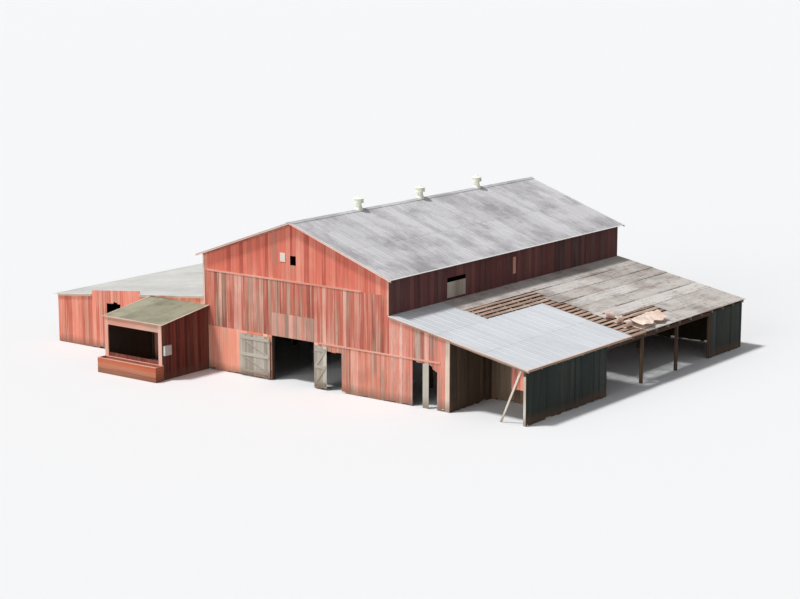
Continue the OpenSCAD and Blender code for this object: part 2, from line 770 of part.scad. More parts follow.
module left_beams()
    color("saddlebrown") place() run_y([board_t, length - board_t]) {
        left_beam([-ledger_t, 0], left_ledger_z);
        left_beam([left_mid_x - side_post / 2, left_mid_x + side_post / 2], left_mid_z);
        left_beam([left_post_x, left_post_x + side_post], left_plate_z);
    }
module left_beam(x, z) quad(x, [z, z], [for (p = x) left_low(p)]);

module left_rafters()
    color("peru") place()
        for (n = [0:left_spaces]) let (y = row_y(n, left_spaces, side_rafter_w))
            run_y([y - side_rafter_w / 2, y + side_rafter_w / 2])
                left_layer([left_post_x, 0], sheet_t + purlin_d + 2 * seam, rafter_d);

module left_roof_purlins() {
    step = (left_w - board_t - purlin_w) / (left_purlins - 1);
    color("peru") place() run_y([board_t, length - board_t])
        for (n = [0:left_purlins - 1])
            left_layer([left_post_x + n * step, left_post_x + n * step + purlin_w], sheet_t + seam,
                purlin_d);
}

// Front boards of the left lean-to, which rise over the doorway and hide the roof's edge there
module left_front_boards() {
    low_x = -left_door_x - left_door_w;
    under = -sheet_t - seam;
    color("salmon") place() run_y([0, board_t]) {
        left_fill([-left_w, parapet_x[0] - seam], [0, 0], under);
        left_fill([parapet_x[0], low_x], [0, 0], parapet_h);
        left_fill([low_x + seam, -left_door_x - seam], [left_door_h, left_door_h], parapet_h);
        left_fill([-left_door_x, parapet_x[1]], [0, 0], parapet_h);
        left_fill([parapet_x[1] + seam, 0], [0, 0], under);
    }
}
module left_fill(x, low, over) quad(x, low, [for (p = x) left_top(p) + over]);

// Light boards under the front edge of the left lean-to's roof, with a gap over the shed's roof
module left_trim() {
    shed_end = -shed_x - shed_out;
    clear = (shed_hi + shed_clear + sheet_t + left_rake_h - left_hi) / left_fall;
    color("mistyrose") place() run_y([-trim_t, 0])
        for (x = [[-left_w, parapet_x[0] - seam], [parapet_x[1] + seam, shed_end - seam],
            [max(shed_end, clear), 0]])
            left_layer(x, sheet_t + seam, left_rake_h);
}

module left_boards()
    color("indianred") place() {
        run_y([board_t, length - board_t - seam])
            left_fill([-left_w, left_post_x], [0, 0], -sheet_t - seam);
        run_y([length - board_t, length]) left_fill([-left_w, 0], [0, 0], -sheet_t - seam);
    }

module left_roof()
    color("gainsboro") place() {
        run_y([board_t, length + right_rake]) left_layer([-left_w - left_out, 0], 0, sheet_t);
        for (x = [[-left_w - left_out, parapet_x[0] - seam], [parapet_x[1] + seam, 0]])
            run_y([-left_rake, board_t - seam]) left_layer(x, 0, sheet_t);
    }

// Front shed
shed_in = [-shed_x + board_t, shed_past - board_t];
shed_front = -shed_d + board_t;
module shed_frame()
    color("saddlebrown") place() {
        for (x = [shed_in[0], shed_in[1] - shed_post]) {
            block([x, x + shed_post], [shed_front, shed_front + shed_post],
                [0, shed_header_z - seam]);
            block([x, x + shed_post], [-shed_post, 0], [0, shed_ledger_z - seam]);
        }
        run_x(shed_in) {
            shed_beam([shed_front, shed_front + shed_post], shed_header_z);
            shed_beam([-shed_post, 0], shed_ledger_z);
        }
    }
module shed_beam(y, z) quad(y, [z, z], [for (p = y) shed_low(p)]);

module shed_rafters() {
    count = 5;
    wide = 50;
    step = (shed_in[1] - shed_in[0] - wide) / (count - 1);
    color("peru") place() for (n = [0:count - 1])
        run_x([shed_in[0] + n * step, shed_in[0] + n * step + wide])
            shed_layer([shed_front, 0], sheet_t + seam, shed_rafter_d);
}

module shed_boards() {
    left = (shed_past - shed_x - bay_opening_w) / 2;
    right = left + bay_opening_w;
    top = shed_top(-shed_d) - sheet_t - seam;
    front = [-shed_d, shed_front];
    color("firebrick") place() {
        block([-shed_x, left], front, [0, top]);
        block([right, shed_past], front, [0, top]);
        block([left + seam, right - seam], front, [0, bay_sill_z]);
        block([left + seam, right - seam], front, [bay_head_z, top]);
        for (x = [[-shed_x, shed_in[0]], [shed_in[1], shed_past]])
            run_x(x) shed_side([shed_front + seam, 0]);
    }
}
module shed_side(y) quad(y, [0, 0], [for (p = y) shed_top(p) - sheet_t - seam]);

// Pale corner boards and head board on the shed's front
module shed_trim() {
    y = [-shed_d - trim_t, -shed_d];
    top = shed_top(-shed_d - trim_t) - sheet_t - seam;
    color("mistyrose") place() {
        for (x = [-shed_x, shed_past - shed_trim_w])
            block([x, x + shed_trim_w], y, [bunk_h, top]);
        block([shed_trim_w - shed_x + seam, shed_past - shed_trim_w - seam], y, [bay_head_z, top]);
    }
}

module shed_roof()
    color("darkseagreen") place() run_x([-shed_x - shed_out, shed_past + shed_out])
        shed_layer([-shed_d - shed_out, 0], 0, sheet_t);

module feed_bunk() {
    past = 100;
    x = [-shed_x, shed_past + past];
    y = [-shed_d - bunk_d, -shed_d];
    color("salmon") place() {
        for (p = [y[0], y[1] - board_t]) block(x, [p, p + board_t], [0, bunk_h]);
        for (p = [x[0], x[1] - board_t])
            block([p, p + board_t], [y[0] + board_t + seam, y[1] - board_t - seam], [0, bunk_h]);
        block([x[0] + board_t + seam, x[1] - board_t - seam],
            [y[0] + board_t + seam, y[1] - board_t - seam], [bunk_floor_z, bunk_floor_z + board_t]);
    }
}

module utility_box()
    color("whitesmoke") place()
        block([shed_past, shed_past + box_deep], [box_in - shed_d, box_in + box_w - shed_d],
            [box_z, box_z + box_h]);

main_posts();
main_ties();
main_braces();
main_plates();
queen_posts();
main_rafters();
main_purlins();
front_girts();
front_lower_boards();
front_upper_boards();
door_head_boards();
front_gable_boards();
main_side_boards();
main_rear_boards();
main_trim();
loft_shutter();
side_hatch_panel();
main_roof();
ridge_cap();
ridge_ventilators();
door_pintles();
left_leaf_boards();
left_leaf_ledges();
left_leaf_hinges();
right_leaf_boards();
right_leaf_ledges();
right_leaf_hinges();
right_posts();
right_beams();
right_rafters();
right_sheathing();
right_front_boards();
right_door_board();
right_side_boards();
right_rear_boards();
right_cross_wall();
right_partition();
right_corner_post();
right_trim();
right_new_sheets();
right_old_sheets();
curled_sheet();
left_posts();
left_beams();
left_rafters();
left_roof_purlins();
left_front_boards();
left_trim();
left_boards();
left_roof();
shed_frame();
shed_rafters();
shed_boards();
shed_trim();
shed_roof();
feed_bunk();
utility_box();
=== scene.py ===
# %% [markdown]
# A weathered red barn: a tall main barn, a lean-to on each side, a small front shed and two swing
# doors. The fixed frame brings the building's solids in metres. This lesson gives them boards,
# sheets, timbers and paint, and leaves every size and place to the frame.

# %% Load the fixed frame
import math
import random

import bmesh
import bpy
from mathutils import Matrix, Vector, noise
from mathutils.geometry import convex_hull_2d


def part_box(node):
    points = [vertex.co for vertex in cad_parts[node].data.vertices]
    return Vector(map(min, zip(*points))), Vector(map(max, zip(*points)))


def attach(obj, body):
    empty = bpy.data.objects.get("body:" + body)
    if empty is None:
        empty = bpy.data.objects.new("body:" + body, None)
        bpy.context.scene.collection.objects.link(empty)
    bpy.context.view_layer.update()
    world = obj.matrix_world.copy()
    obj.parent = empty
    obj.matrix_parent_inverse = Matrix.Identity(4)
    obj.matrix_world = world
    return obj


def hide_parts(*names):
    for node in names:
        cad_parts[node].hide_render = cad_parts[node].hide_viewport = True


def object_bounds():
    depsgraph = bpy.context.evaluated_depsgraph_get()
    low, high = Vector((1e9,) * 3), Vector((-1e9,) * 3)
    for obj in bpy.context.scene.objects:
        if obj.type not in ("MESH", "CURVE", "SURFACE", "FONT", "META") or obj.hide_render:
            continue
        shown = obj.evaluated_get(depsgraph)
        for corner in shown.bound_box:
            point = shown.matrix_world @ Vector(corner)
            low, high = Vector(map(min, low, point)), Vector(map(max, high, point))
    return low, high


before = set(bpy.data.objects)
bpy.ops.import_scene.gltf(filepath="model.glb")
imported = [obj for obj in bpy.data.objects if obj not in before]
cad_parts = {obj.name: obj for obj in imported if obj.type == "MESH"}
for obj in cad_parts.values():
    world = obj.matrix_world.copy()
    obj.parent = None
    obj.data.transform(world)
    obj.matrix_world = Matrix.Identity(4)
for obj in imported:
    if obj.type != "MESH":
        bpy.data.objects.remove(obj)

cad_box = [[float(value) for value in corner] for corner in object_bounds()]

# %% [markdown]
# An object is what places a mesh, a lamp or a camera in the scene, and most pieces here are read
# from the corners of a solid. So two small helpers come first.

# %% Small helpers
NEAR = 1e-3


def in_scene(name, data):
    """A new object in the scene."""
    thing = bpy.data.objects.new(name, data)
    bpy.context.scene.collection.objects.link(thing)
    return thing


def reach_of(points):
    """The lowest and the highest value of some points along each axis."""
    return [[pick(point[axis] for point in points) for axis in range(3)] for pick in (min, max)]

print("places nearer than", NEAR, "m count as one")

# %% [markdown]
# Both kinds of tree in this lesson, the one that grows boards and the one that colours them, are
# built node by node. A small bench keeps that readable: it adds a node, sets or links its sockets
# and hands back what comes out.

# %% A bench for node trees
class Bench:
    """A node tree that is filled one node at a time."""

    def __init__(self, tree):
        self.tree = tree

    def put(self, node, sockets):
        """Sets or links some sockets of a node."""
        for socket, value in sockets.items():
            if isinstance(value, bpy.types.NodeSocket):
                self.tree.links.new(value, node.inputs[socket])
            else:
                node.inputs[socket].default_value = value

    def add(self, kind, sockets=None, **settings):
        node = self.tree.nodes.new(kind)
        for name, value in settings.items():
            setattr(node, name, value)
        self.put(node, sockets or {})
        return node

    def math(self, operation, first, second=0.0, third=0.0):
        return self.add("ShaderNodeMath", {0: first, 1: second, 2: third},
                        operation=operation).outputs[0]

    def plus(self, first, second):
        return self.math("ADD", first, second)

    def times(self, first, second):
        return self.math("MULTIPLY", first, second)

    def blend(self, *parts):
        """The sum of some values, each with its weight."""
        total = 0.0
        for weight, value in parts:
            total = self.math("MULTIPLY_ADD", value, weight, total)
        return total

    def between(self, share, first, second):
        """A number between two others."""
        return self.add("ShaderNodeMix", {0: share, 2: first, 3: second}).outputs[0]

    def spread(self, value, low, high):
        """Turns the range from low to high into 0 to 1, and stays there outside it."""
        return self.add("ShaderNodeMapRange", {0: value, 1: low, 2: high}).outputs[0]

    def colour(self, share, first, second):
        return self.add("ShaderNodeMix", {0: share, 6: first, 7: second},
                        data_type="RGBA").outputs[2]

    def stained(self, colour, stain, value, low, high, most=1.0):
        """A colour that turns into a stain as a value goes from low to high."""
        return self.colour(self.times(self.spread(value, low, high), most), colour, stain)

    def vector(self, x, y, z):
        return self.add("ShaderNodeCombineXYZ", {0: x, 1: y, 2: z}).outputs[0]

    def parts(self, vector):
        return self.add("ShaderNodeSeparateXYZ", {0: vector}).outputs

    def sum_of(self, first, second, operation="ADD"):
        """Two vectors added, or taken from each other or multiplied."""
        return self.add("ShaderNodeVectorMath", {0: first, 1: second},
                        operation=operation).outputs[0]

print("bench ready")

# %% [markdown]
# Paint is read as it is on a colour chart, from 0 to 255, and Blender counts light instead. One
# function turns the first into the second, so every finish can be written as a plain colour.

# %% Colours from a chart
def chart(red, green, blue):
    """A chart colour as linear light, with full opacity."""
    light = []
    for part in (red, green, blue):
        share = part / 255
        light.append(share / 12.92 if share < 0.04 else ((share + 0.055) / 1.055) ** 2.4)
    return (*light, 1.0)

print("mid grey is", [round(part, 3) for part in chart(128, 128, 128)])

# %% [markdown]
# The walls are softwood boards whose red paint has chalked, streaked and peeled for decades. Each
# board has a tone of its own, rain has drawn pale and dark streaks along the grain, and the foot is
# dirty. The inner face was never painted, apart from the door leaves'. The pattern follows the
# piece's own grain attribute, so no streak runs over a joint.

# %% Start of a finish
RELIEF_DEPTH = 0.004
# The frame has materials of its own, some with the same names, so the finishes are kept apart
finishes = {}


def start_finish(name):
    """An empty material with its shader, on a bench."""
    material = bpy.data.materials.new(name)
    finishes[name] = material
    material.use_nodes = True
    material.node_tree.nodes.clear()
    bench = Bench(material.node_tree)
    shader = bench.add("ShaderNodeBsdfPrincipled")
    bench.add("ShaderNodeOutputMaterial", {0: shader.outputs[0]})
    return bench, shader


def read(bench, name, part="Fac"):
    """What a piece's own attribute says at a place."""
    return bench.add("ShaderNodeAttribute", attribute_name=name).outputs[part]


def clouds(bench, place, scale, detail, roughness=0.55, twist=0.0):
    """Soft noise around one half, with so many clouds in a metre along each axis."""
    stretched = bench.sum_of(place, scale, "MULTIPLY")
    return bench.add("ShaderNodeTexNoise", {0: stretched, 2: 1.0, 3: detail, 4: roughness,
                                            8: twist}).outputs[0]


def surface(bench, shader, colour, roughness, specular, height, strength=0.5):
    """Gives a shader its colour, its gloss and a relief."""
    relief = bench.add("ShaderNodeBump", {"Height": height, "Strength": strength,
                                          "Distance": RELIEF_DEPTH})
    bench.put(shader, {"Base Color": colour, "Roughness": roughness,
                       "Specular IOR Level": specular, "Normal": relief.outputs[0]})

print("a finish stands out by up to", RELIEF_DEPTH, "m")

# %% Painted boards
# Clouds in a metre across, through and along the grain, or over the wall
FINE_GRAIN = (85.0, 85.0, 2.2)
RAIN_STREAKS = (9.0, 9.0, 0.25)
SLOW_STREAKS = (1.5, 1.5, 0.30)
WALL_PATCHES = (0.22, 0.22, 0.35)
SOIL = chart(122, 96, 78)
INNER_WOOD = chart(92, 80, 68)


def painted_boards(name, *colours, worn, streaks, bare_back=True):
    """Old paint on boards: a tone for each board, streaks, bare wood and a dirty foot."""
    paint, chalk, dark, bare = [chart(*colour) for colour in colours]
    bench, shader = start_finish(name)
    grain = read(bench, "grain", "Vector")
    board = read(bench, "board")
    place = bench.add("ShaderNodeTexCoord").outputs["Object"]
    height = bench.parts(place)[2]
    fine = clouds(bench, grain, FINE_GRAIN, 5.0)
    wide = clouds(bench, grain, RAIN_STREAKS, 3.0)
    slow = clouds(bench, grain, SLOW_STREAKS, 2.0)
    patch = clouds(bench, place, WALL_PATCHES, 3.0)
    # Tone of the whole board, a little shifted by large patches of the wall
    tone = bench.blend((0.74, board), (0.26, bench.spread(patch, 0.34, 0.66)))
    colour = bench.stained(dark, paint, tone, 0.10, 0.42)
    colour = bench.stained(colour, chalk, tone, 0.60, 0.92, 0.85)
    # Boards that have lost most of their paint, some over a part of their length
    other = bench.math("FRACT", bench.times(board, 57.3))
    bald = bench.plus(other, bench.times(bench.plus(slow, -0.5), 1.6))
    colour = bench.stained(colour, bare, bald, 0.86 - 0.22 * worn, 1.06 - 0.22 * worn,
                           0.35 + 0.5 * worn)
    # Rain streaks along the grain, pale and dark
    colour = bench.stained(colour, chalk, wide, 0.52, 0.70, streaks)
    colour = bench.stained(colour, dark, wide, 0.46, 0.28, streaks)
    # Bare wood where fine grain and streaks agree, more of it low on the wall
    peel = bench.blend((0.55, fine), (0.45, wide), (0.05, bench.spread(height, 2.2, 0.0)))
    peeled = bench.times(bench.spread(peel, 0.60 - 0.08 * worn, 0.68 - 0.08 * worn), worn)
    colour = bench.colour(peeled, colour, bare)
    # Splashed earth at the foot
    splash = bench.plus(height, bench.times(patch, -0.5))
    colour = bench.stained(colour, SOIL, splash, 0.30, -0.12, 0.6)
    if bare_back:
        colour = bench.stained(colour, INNER_WOOD, read(bench, "inside"), 0.4, 0.6)
    surface(bench, shader, colour, roughness=bench.between(fine, 0.78, 0.98), specular=0.25,
            height=bench.plus(fine, bench.times(peeled, -0.4)))

print("a board's fine grain has", FINE_GRAIN[0], "lines in a metre")

# %% Paint of each wall
# Fresh, chalked and dark boards, and the bare wood under the paint
painted_boards("gable_paint", (226, 122, 102), (242, 170, 148), (187, 93, 78), (190, 140, 118),
               worn=0.3, streaks=0.45)
painted_boards("wall_paint", (208, 116, 97), (246, 198, 180), (142, 76, 64), (168, 139, 119),
               worn=0.75, streaks=0.75)
painted_boards("low_paint", (234, 146, 122), (252, 206, 188), (152, 78, 64), (168, 144, 126),
               worn=0.7, streaks=0.7)
# Left end of the lower front wall: a brighter orange, partly its own paint, partly painted light
# against the shed's shadow
painted_boards("corner_paint_with_painted_light", (252, 164, 138), (254, 214, 192), (228, 138, 116), (214, 172, 150),
               worn=0.45, streaks=0.6)
painted_boards("patch_paint", (222, 154, 136), (250, 206, 190), (150, 128, 112), (152, 138, 122),
               worn=0.7, streaks=0.6)
painted_boards("lean_paint", (236, 148, 128), (252, 220, 206), (170, 102, 88), (164, 142, 126),
               worn=0.8, streaks=0.7)
painted_boards("left_paint", (248, 154, 130), (252, 206, 186), (206, 112, 92), (204, 164, 142),
               worn=0.5, streaks=0.6)
# Dark red of the main barn's side walls: partly their own weathered red, partly painted shade
painted_boards("red_paint_with_painted_shade", (104, 62, 60), (132, 86, 82), (76, 52, 52), (94, 82, 78),
               worn=0.5, streaks=0.5)
painted_boards("brown_boards", (122, 102, 84), (148, 126, 106), (82, 68, 56), (102, 90, 78),
               worn=0.5, streaks=0.5)
# Near-black grey of the right lean-to's low wall: weathered grey boards, darkened further by
# painted shade
painted_boards("grey_boards_with_painted_shade", (54, 61, 57), (82, 89, 84), (32, 38, 36), (78, 72, 65),
               worn=0.5, streaks=0.5)
painted_boards("grey_paint", (188, 178, 164), (212, 206, 194), (152, 142, 128), (154, 140, 124),
               worn=0.5, streaks=0.6, bare_back=False)
# Dark maroon of the shed's walls: partly their own red, partly painted shade
painted_boards("shed_red_with_painted_shade", (122, 60, 50), (160, 90, 78), (88, 44, 38), (118, 92, 78),
               worn=0.35, streaks=0.5)
painted_boards("bunk_paint", (206, 112, 80), (232, 164, 134), (162, 84, 60), (180, 148, 124),
               worn=0.5, streaks=0.5)
painted_boards("trim_paint", (234, 174, 154), (246, 208, 192), (206, 136, 116), (190, 160, 140),
               worn=0.4, streaks=0.5)
painted_boards("cream_paint", (234, 204, 182), (244, 228, 214), (200, 156, 134), (180, 156, 136),
               worn=0.4, streaks=0.45)
painted_boards("rake_paint", (246, 206, 192), (252, 230, 220), (226, 168, 152), (200, 168, 152),
               worn=0.3, streaks=0.45)
painted_boards("white_paint", (232, 222, 206), (242, 236, 226), (190, 172, 154), (172, 154, 136),
               worn=0.45, streaks=0.4)
print("board finishes:", len(finishes))

# %% [markdown]
# The frame is rough-sawn fir, never painted. Indoors it has gone brown, and where the roof is off
# it has silvered. The same grain attribute drives it, with slower rings and small dark checks.

# %% Bare timber
TIMBER_GRAIN = (70.0, 70.0, 1.6)
TIMBER_RINGS = (14.0, 14.0, 0.35)


def bare_timber(name, *colours):
    """Unpainted timber with rings along the grain and dark checks."""
    light, mid, dark = [chart(*colour) for colour in colours]
    bench, shader = start_finish(name)
    grain = read(bench, "grain", "Vector")
    fine = clouds(bench, grain, TIMBER_GRAIN, 6.0)
    rings = clouds(bench, grain, TIMBER_RINGS, 3.0, twist=0.6)
    colour = bench.stained(mid, light, read(bench, "board"), 0.0, 1.0)
    colour = bench.stained(colour, dark, rings, 0.40, 0.66)
    colour = bench.stained(colour, dark, fine, 0.58, 0.66, 0.7)
    surface(bench, shader, colour, roughness=0.9, specular=0.2, height=fine)
    print("timber finish", name)

bare_timber("indoor_timber", (132, 110, 90), (108, 88, 72), (72, 58, 48))
bare_timber("outdoor_timber", (218, 192, 174), (188, 156, 138), (128, 104, 90))

# %% [markdown]
# The roofs are crimped steel sheets. The main roof's zinc has gone a blotchy grey-white, the newer
# sheets of the right lean-to are nearly white, and its old ones are brown with dirt and rust. Each
# sheet has its own tone, stains run down the slope, and rust gathers at the laps.

# %% Roof sheets
def sheet_metal(name, *colours, stains=0.5, rusted=0.2, gloss=0.55, size=1.0,
                drawn=(14.0, 0.8, 1.0)):
    """Weathered metal: a tone for each sheet, blotches, runs down the slope and rust."""
    base, pale, stain, rust = [chart(*colour) for colour in colours]
    bench, shader = start_finish(name)
    grain = read(bench, "grain", "Vector")
    place = bench.add("ShaderNodeTexCoord").outputs["Object"]
    blotch = clouds(bench, place, (0.45 / size,) * 3, 5.0, 0.6)
    speck = clouds(bench, place, (5.0 / size,) * 3, 6.0, 0.7)
    runs = clouds(bench, grain, drawn, 4.0)
    colour = bench.colour(read(bench, "board"), base, pale)
    dull = bench.blend((0.62, blotch), (0.22, runs), (0.16, speck))
    colour = bench.stained(colour, stain, dull, 0.46, 0.62, stains)
    # Rust where specks and runs agree, more of it near the foot of a sheet
    lap = bench.spread(bench.parts(grain)[2], 0.35, 0.0)
    rot = bench.blend((0.55, speck), (0.45, runs), (0.06, lap))
    rusty = bench.times(bench.spread(rot, 0.62 - 0.12 * rusted, 0.70 - 0.12 * rusted), rusted)
    surface(bench, shader, bench.colour(rusty, colour, rust),
            roughness=bench.between(rusty, gloss, 0.9), specular=0.35, height=speck, strength=0.25)
    print("metal finish", name)

# %% Metal of each roof and fitting
# The sheets' two tones, their stains and their rust
sheet_metal("grey_metal", (190, 188, 191), (208, 206, 208), (134, 130, 132), (146, 122, 112),
            stains=0.8)
sheet_metal("new_metal", (204, 207, 211), (211, 214, 217), (190, 191, 195), (180, 160, 146),
            rusted=0.08)
sheet_metal("old_metal", (193, 186, 180), (212, 207, 202), (142, 132, 124), (144, 114, 98),
            stains=0.9, rusted=0.65, gloss=0.75, drawn=(0.55, 9.0, 1.0))
sheet_metal("left_metal", (190, 190, 186), (200, 199, 195), (166, 162, 158), (160, 136, 122),
            rusted=0.15)
sheet_metal("bent_metal", (244, 218, 200), (250, 232, 218), (206, 168, 150), (166, 118, 98),
            stains=0.7, rusted=0.35, size=0.3)
sheet_metal("shed_felt", (146, 142, 120), (170, 164, 142), (112, 110, 92), (104, 96, 80),
            stains=0.8, gloss=0.9, size=0.6)
sheet_metal("tan_edge", (204, 176, 152), (218, 194, 172), (168, 138, 116), (140, 108, 88),
            stains=0.6, rusted=0.3, size=0.4)
sheet_metal("pale_edge", (226, 224, 222), (234, 232, 230), (196, 192, 190), (168, 140, 124),
            size=0.4)
sheet_metal("vent_metal", (250, 251, 236), (252, 252, 242), (226, 224, 202), (160, 136, 112),
            rusted=0.15, size=0.15)
sheet_metal("box_metal", (222, 222, 218), (230, 230, 226), (186, 184, 178), (150, 124, 104),
            size=0.15)
sheet_metal("iron", (92, 84, 80), (106, 98, 92), (66, 56, 52), (110, 70, 48),
            stains=0.6, rusted=0.7, gloss=0.6, size=0.08)
print("finishes in all:", len(finishes))

# %% [markdown]
# A wall in the frame is a flat solid, and its boards have to fill it exactly, up to the slope of
# the roof. So the wall is read first: which way it faces, where its ends are, and how high its foot
# and head lie there. That is all a tree needs to lay boards.

# %% Separate solids of a node
def split(mesh):
    """A mesh of its own for each separate solid, in a fixed order."""
    mesh.faces.index_update()
    left = set(mesh.verts)
    singles = []
    for first in mesh.verts:
        if first not in left:
            continue
        left.discard(first)
        group = [first]
        for vert in group:
            for edge in vert.link_edges:
                other = edge.other_vert(vert)
                if other in left:
                    left.discard(other)
                    group.append(other)
        single = bmesh.new()
        copies = {vert: single.verts.new(vert.co) for vert in group}
        faces = {face for vert in group for face in vert.link_faces}
        for face in sorted(faces, key=lambda one: one.index):
            single.faces.new([copies[vert] for vert in face.verts])
        singles.append(single)
    mesh.free()
    return sorted(singles, key=lambda one: [round(min(vert.co[axis] for vert in one.verts), 3)
                                            for axis in (0, 1, 2)])


def node_solids(name):
    """The separate solids of a node, with their corners merged."""
    mesh = bmesh.new()
    mesh.from_mesh(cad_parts[name].data)
    bmesh.ops.remove_doubles(mesh, verts=mesh.verts, dist=1e-5)
    return split(mesh)


def solids_of(name):
    """Corner points of each separate solid of a node."""
    groups = []
    for single in node_solids(name):
        groups.append([vert.co.copy() for vert in single.verts])
        single.free()
    return groups


def middle_of(name):
    """The middle of the box round a node."""
    low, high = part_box(name)
    return (Vector(low) + Vector(high)) / 2

barn_middle = middle_of("main_roof")
shed_middle = middle_of("shed_boards")
print("the main roof's middle is", [round(value, 2) for value in barn_middle])

# %% Wall panels
panel_count = 0
TURNS = {(1, -1): 0.0, (1, 1): math.pi, (0, 1): math.pi / 2, (0, -1): -math.pi / 2}


def panels_of(name, middle=barn_middle):
    """The flat panels of a wall: where each starts, which way it faces and how high it reaches."""
    global panel_count
    rows = []
    for points in solids_of(name):
        low, high = reach_of(points)
        through = 0 if high[0] - low[0] < high[1] - low[1] else 1
        along = 1 - through
        side = 1 if low[through] + high[through] > 2 * middle[through] else -1
        face = high[through] if side > 0 else low[through]
        skin = [p for p in points if abs(p[through] - face) < NEAR]
        ends = sorted({round(p[along], 3) for p in skin})
        feet = [min(p.z for p in skin if abs(p[along] - end) < 2 * NEAR)
                for end in (ends[0], ends[-1])]
        forward = (through, side) in ((1, -1), (0, 1))
        for first, last in zip(ends, ends[1:]):
            at = (first, last) if forward else (last, first)
            shares = [(end - ends[0]) / (ends[-1] - ends[0]) for end in at]
            foot = [feet[0] + (feet[1] - feet[0]) * share for share in shares]
            head = [max(p.z for p in skin if abs(p[along] - end) < 2 * NEAR) for end in at]
            start = [0.0, 0.0, 0.0]
            start[through] = face
            start[along] = at[0]
            rows.append({"origin": start, "turn": TURNS[through, side], "length": last - first,
                         "low_a": foot[0], "low_b": foot[1], "high_a": head[0], "high_b": head[1],
                         "panel": float(panel_count)})
            panel_count += 1
    return rows

gable_panels = panels_of("front_gable_boards")
print("the gable has", len(gable_panels), "panels,",
      round(sum(row["length"] for row in gable_panels), 2), "m of them side by side")

# %% [markdown]
# Boards on a wall repeat with small differences, which is what Geometry Nodes are for. Each panel
# is one point. The tree copies the point once for each board, puts a cube on every copy and then
# moves the cubes' corners to the board's own edges, foot and head.

# %% Trees and their first steps
def start_tree(title, sizes):
    """A geometry tree with a named input for each size, its bench and its points."""
    tree = bpy.data.node_groups.new(title, "GeometryNodeTree")
    tree.interface.new_socket("Geometry", in_out="INPUT", socket_type="NodeSocketGeometry")
    for name, value in sizes.items():
        kind = "NodeSocketInt" if isinstance(value, int) else "NodeSocketFloat"
        socket = tree.interface.new_socket(name, in_out="INPUT", socket_type=kind)
        socket.default_value = value
    tree.interface.new_socket("Finish", in_out="INPUT", socket_type="NodeSocketMaterial")
    tree.interface.new_socket("Geometry", in_out="OUTPUT", socket_type="NodeSocketGeometry")
    bench = Bench(tree)
    given = bench.add("NodeGroupInput").outputs
    points = bench.add("GeometryNodeMeshToPoints", {0: given["Geometry"]}).outputs[0]
    return tree, bench, given, points


def stored(bench, name, kind="FLOAT"):
    return bench.add("GeometryNodeInputNamedAttribute", {0: name}, data_type=kind).outputs[0]


def store(bench, geometry, name, value, kind="FLOAT"):
    return bench.add("GeometryNodeStoreNamedAttribute", {0: geometry, 2: name, 3: value},
                     data_type=kind, domain="POINT").outputs[0]


def chance(bench, low, high, number, seed):
    """A random number that always falls the same for one number and seed."""
    return bench.add("FunctionNodeRandomValue", {2: low, 3: high, 7: number, 8: seed}).outputs[1]


def waves(bench, place, detail):
    """Soft noise around one half."""
    return bench.add("ShaderNodeTexNoise", {0: place, 2: 1.0, 3: detail}).outputs[0]

print("trees can start")

# %% The steps that both trees share
def laid_out(bench, points, shape):
    """Puts a shape on every point, and keeps where each of its corners was in the shape."""
    position = bench.add("GeometryNodeInputPosition").outputs[0]
    shape = store(bench, shape, "corner", position, "FLOAT_VECTOR")
    placed = bench.add("GeometryNodeInstanceOnPoints", {0: points, 2: shape}).outputs[0]
    return bench.add("GeometryNodeRealizeInstances", {0: placed}).outputs[0]


def end_tree(bench, given, solid, corner, spot, tone, grain):
    """Moves every corner to its own spot, turned as its row says, and gives the finish."""
    turned = bench.add("ShaderNodeVectorRotate", {0: spot, 3: stored(bench, "turn")},
                       rotation_type="Z_AXIS").outputs[0]
    position = bench.add("GeometryNodeInputPosition").outputs[0]
    target = bench.sum_of(bench.sum_of(position, corner, "SUBTRACT"), turned)
    solid = store(bench, solid, "board", tone)
    solid = store(bench, solid, "grain", grain, "FLOAT_VECTOR")
    moved = bench.add("GeometryNodeSetPosition", {0: solid, 2: target}).outputs[0]
    dressed = bench.add("GeometryNodeSetMaterial", {0: moved, 2: given["Finish"]}).outputs[0]
    bench.add("NodeGroupOutput", {0: dressed})

print("trees can end")

# %% From points to a finished piece
def marks(name, rows):
    """Loose points, one for each row, that carry the row's numbers."""
    mesh = bpy.data.meshes.new(name)
    mesh.from_pydata([row["origin"] for row in rows], [], [])
    for key in rows[0]:
        if key != "origin":
            layer = mesh.attributes.new(key, "FLOAT", "POINT")
            layer.data.foreach_set("value", [row[key] for row in rows])
    return in_scene(name, mesh)


def grow(name, rows, tree, finish, standard, seed, sizes, skin=0.0):
    """Grows a tree from its points and turns the result into a plain mesh."""
    chosen = dict(standard, Seed=seed)
    chosen.update({key.replace("_", " ").title(): value for key, value in sizes.items()})
    piece = marks(name, rows)
    grower = piece.modifiers.new("Grow", "NODES")
    grower.node_group = tree
    for socket in tree.interface.items_tree:
        if socket.in_out == "INPUT" and socket.name in chosen:
            grower[socket.identifier] = chosen[socket.name]
        if socket.name == "Finish":
            grower[socket.identifier] = finishes[finish]
    if skin:
        thick = piece.modifiers.new("Skin", "SOLIDIFY")
        thick.thickness = skin
        thick.offset = -1.0
    view = bpy.context.evaluated_depsgraph_get()
    mesh = bpy.data.meshes.new_from_object(piece.evaluated_get(view), depsgraph=view,
                                           preserve_all_data_layers=True)
    piece.modifiers.clear()
    piece.data = mesh
    for key in [*rows[0], "corner", "number"]:
        if key in mesh.attributes:
            mesh.attributes.remove(mesh.attributes[key])
    return piece


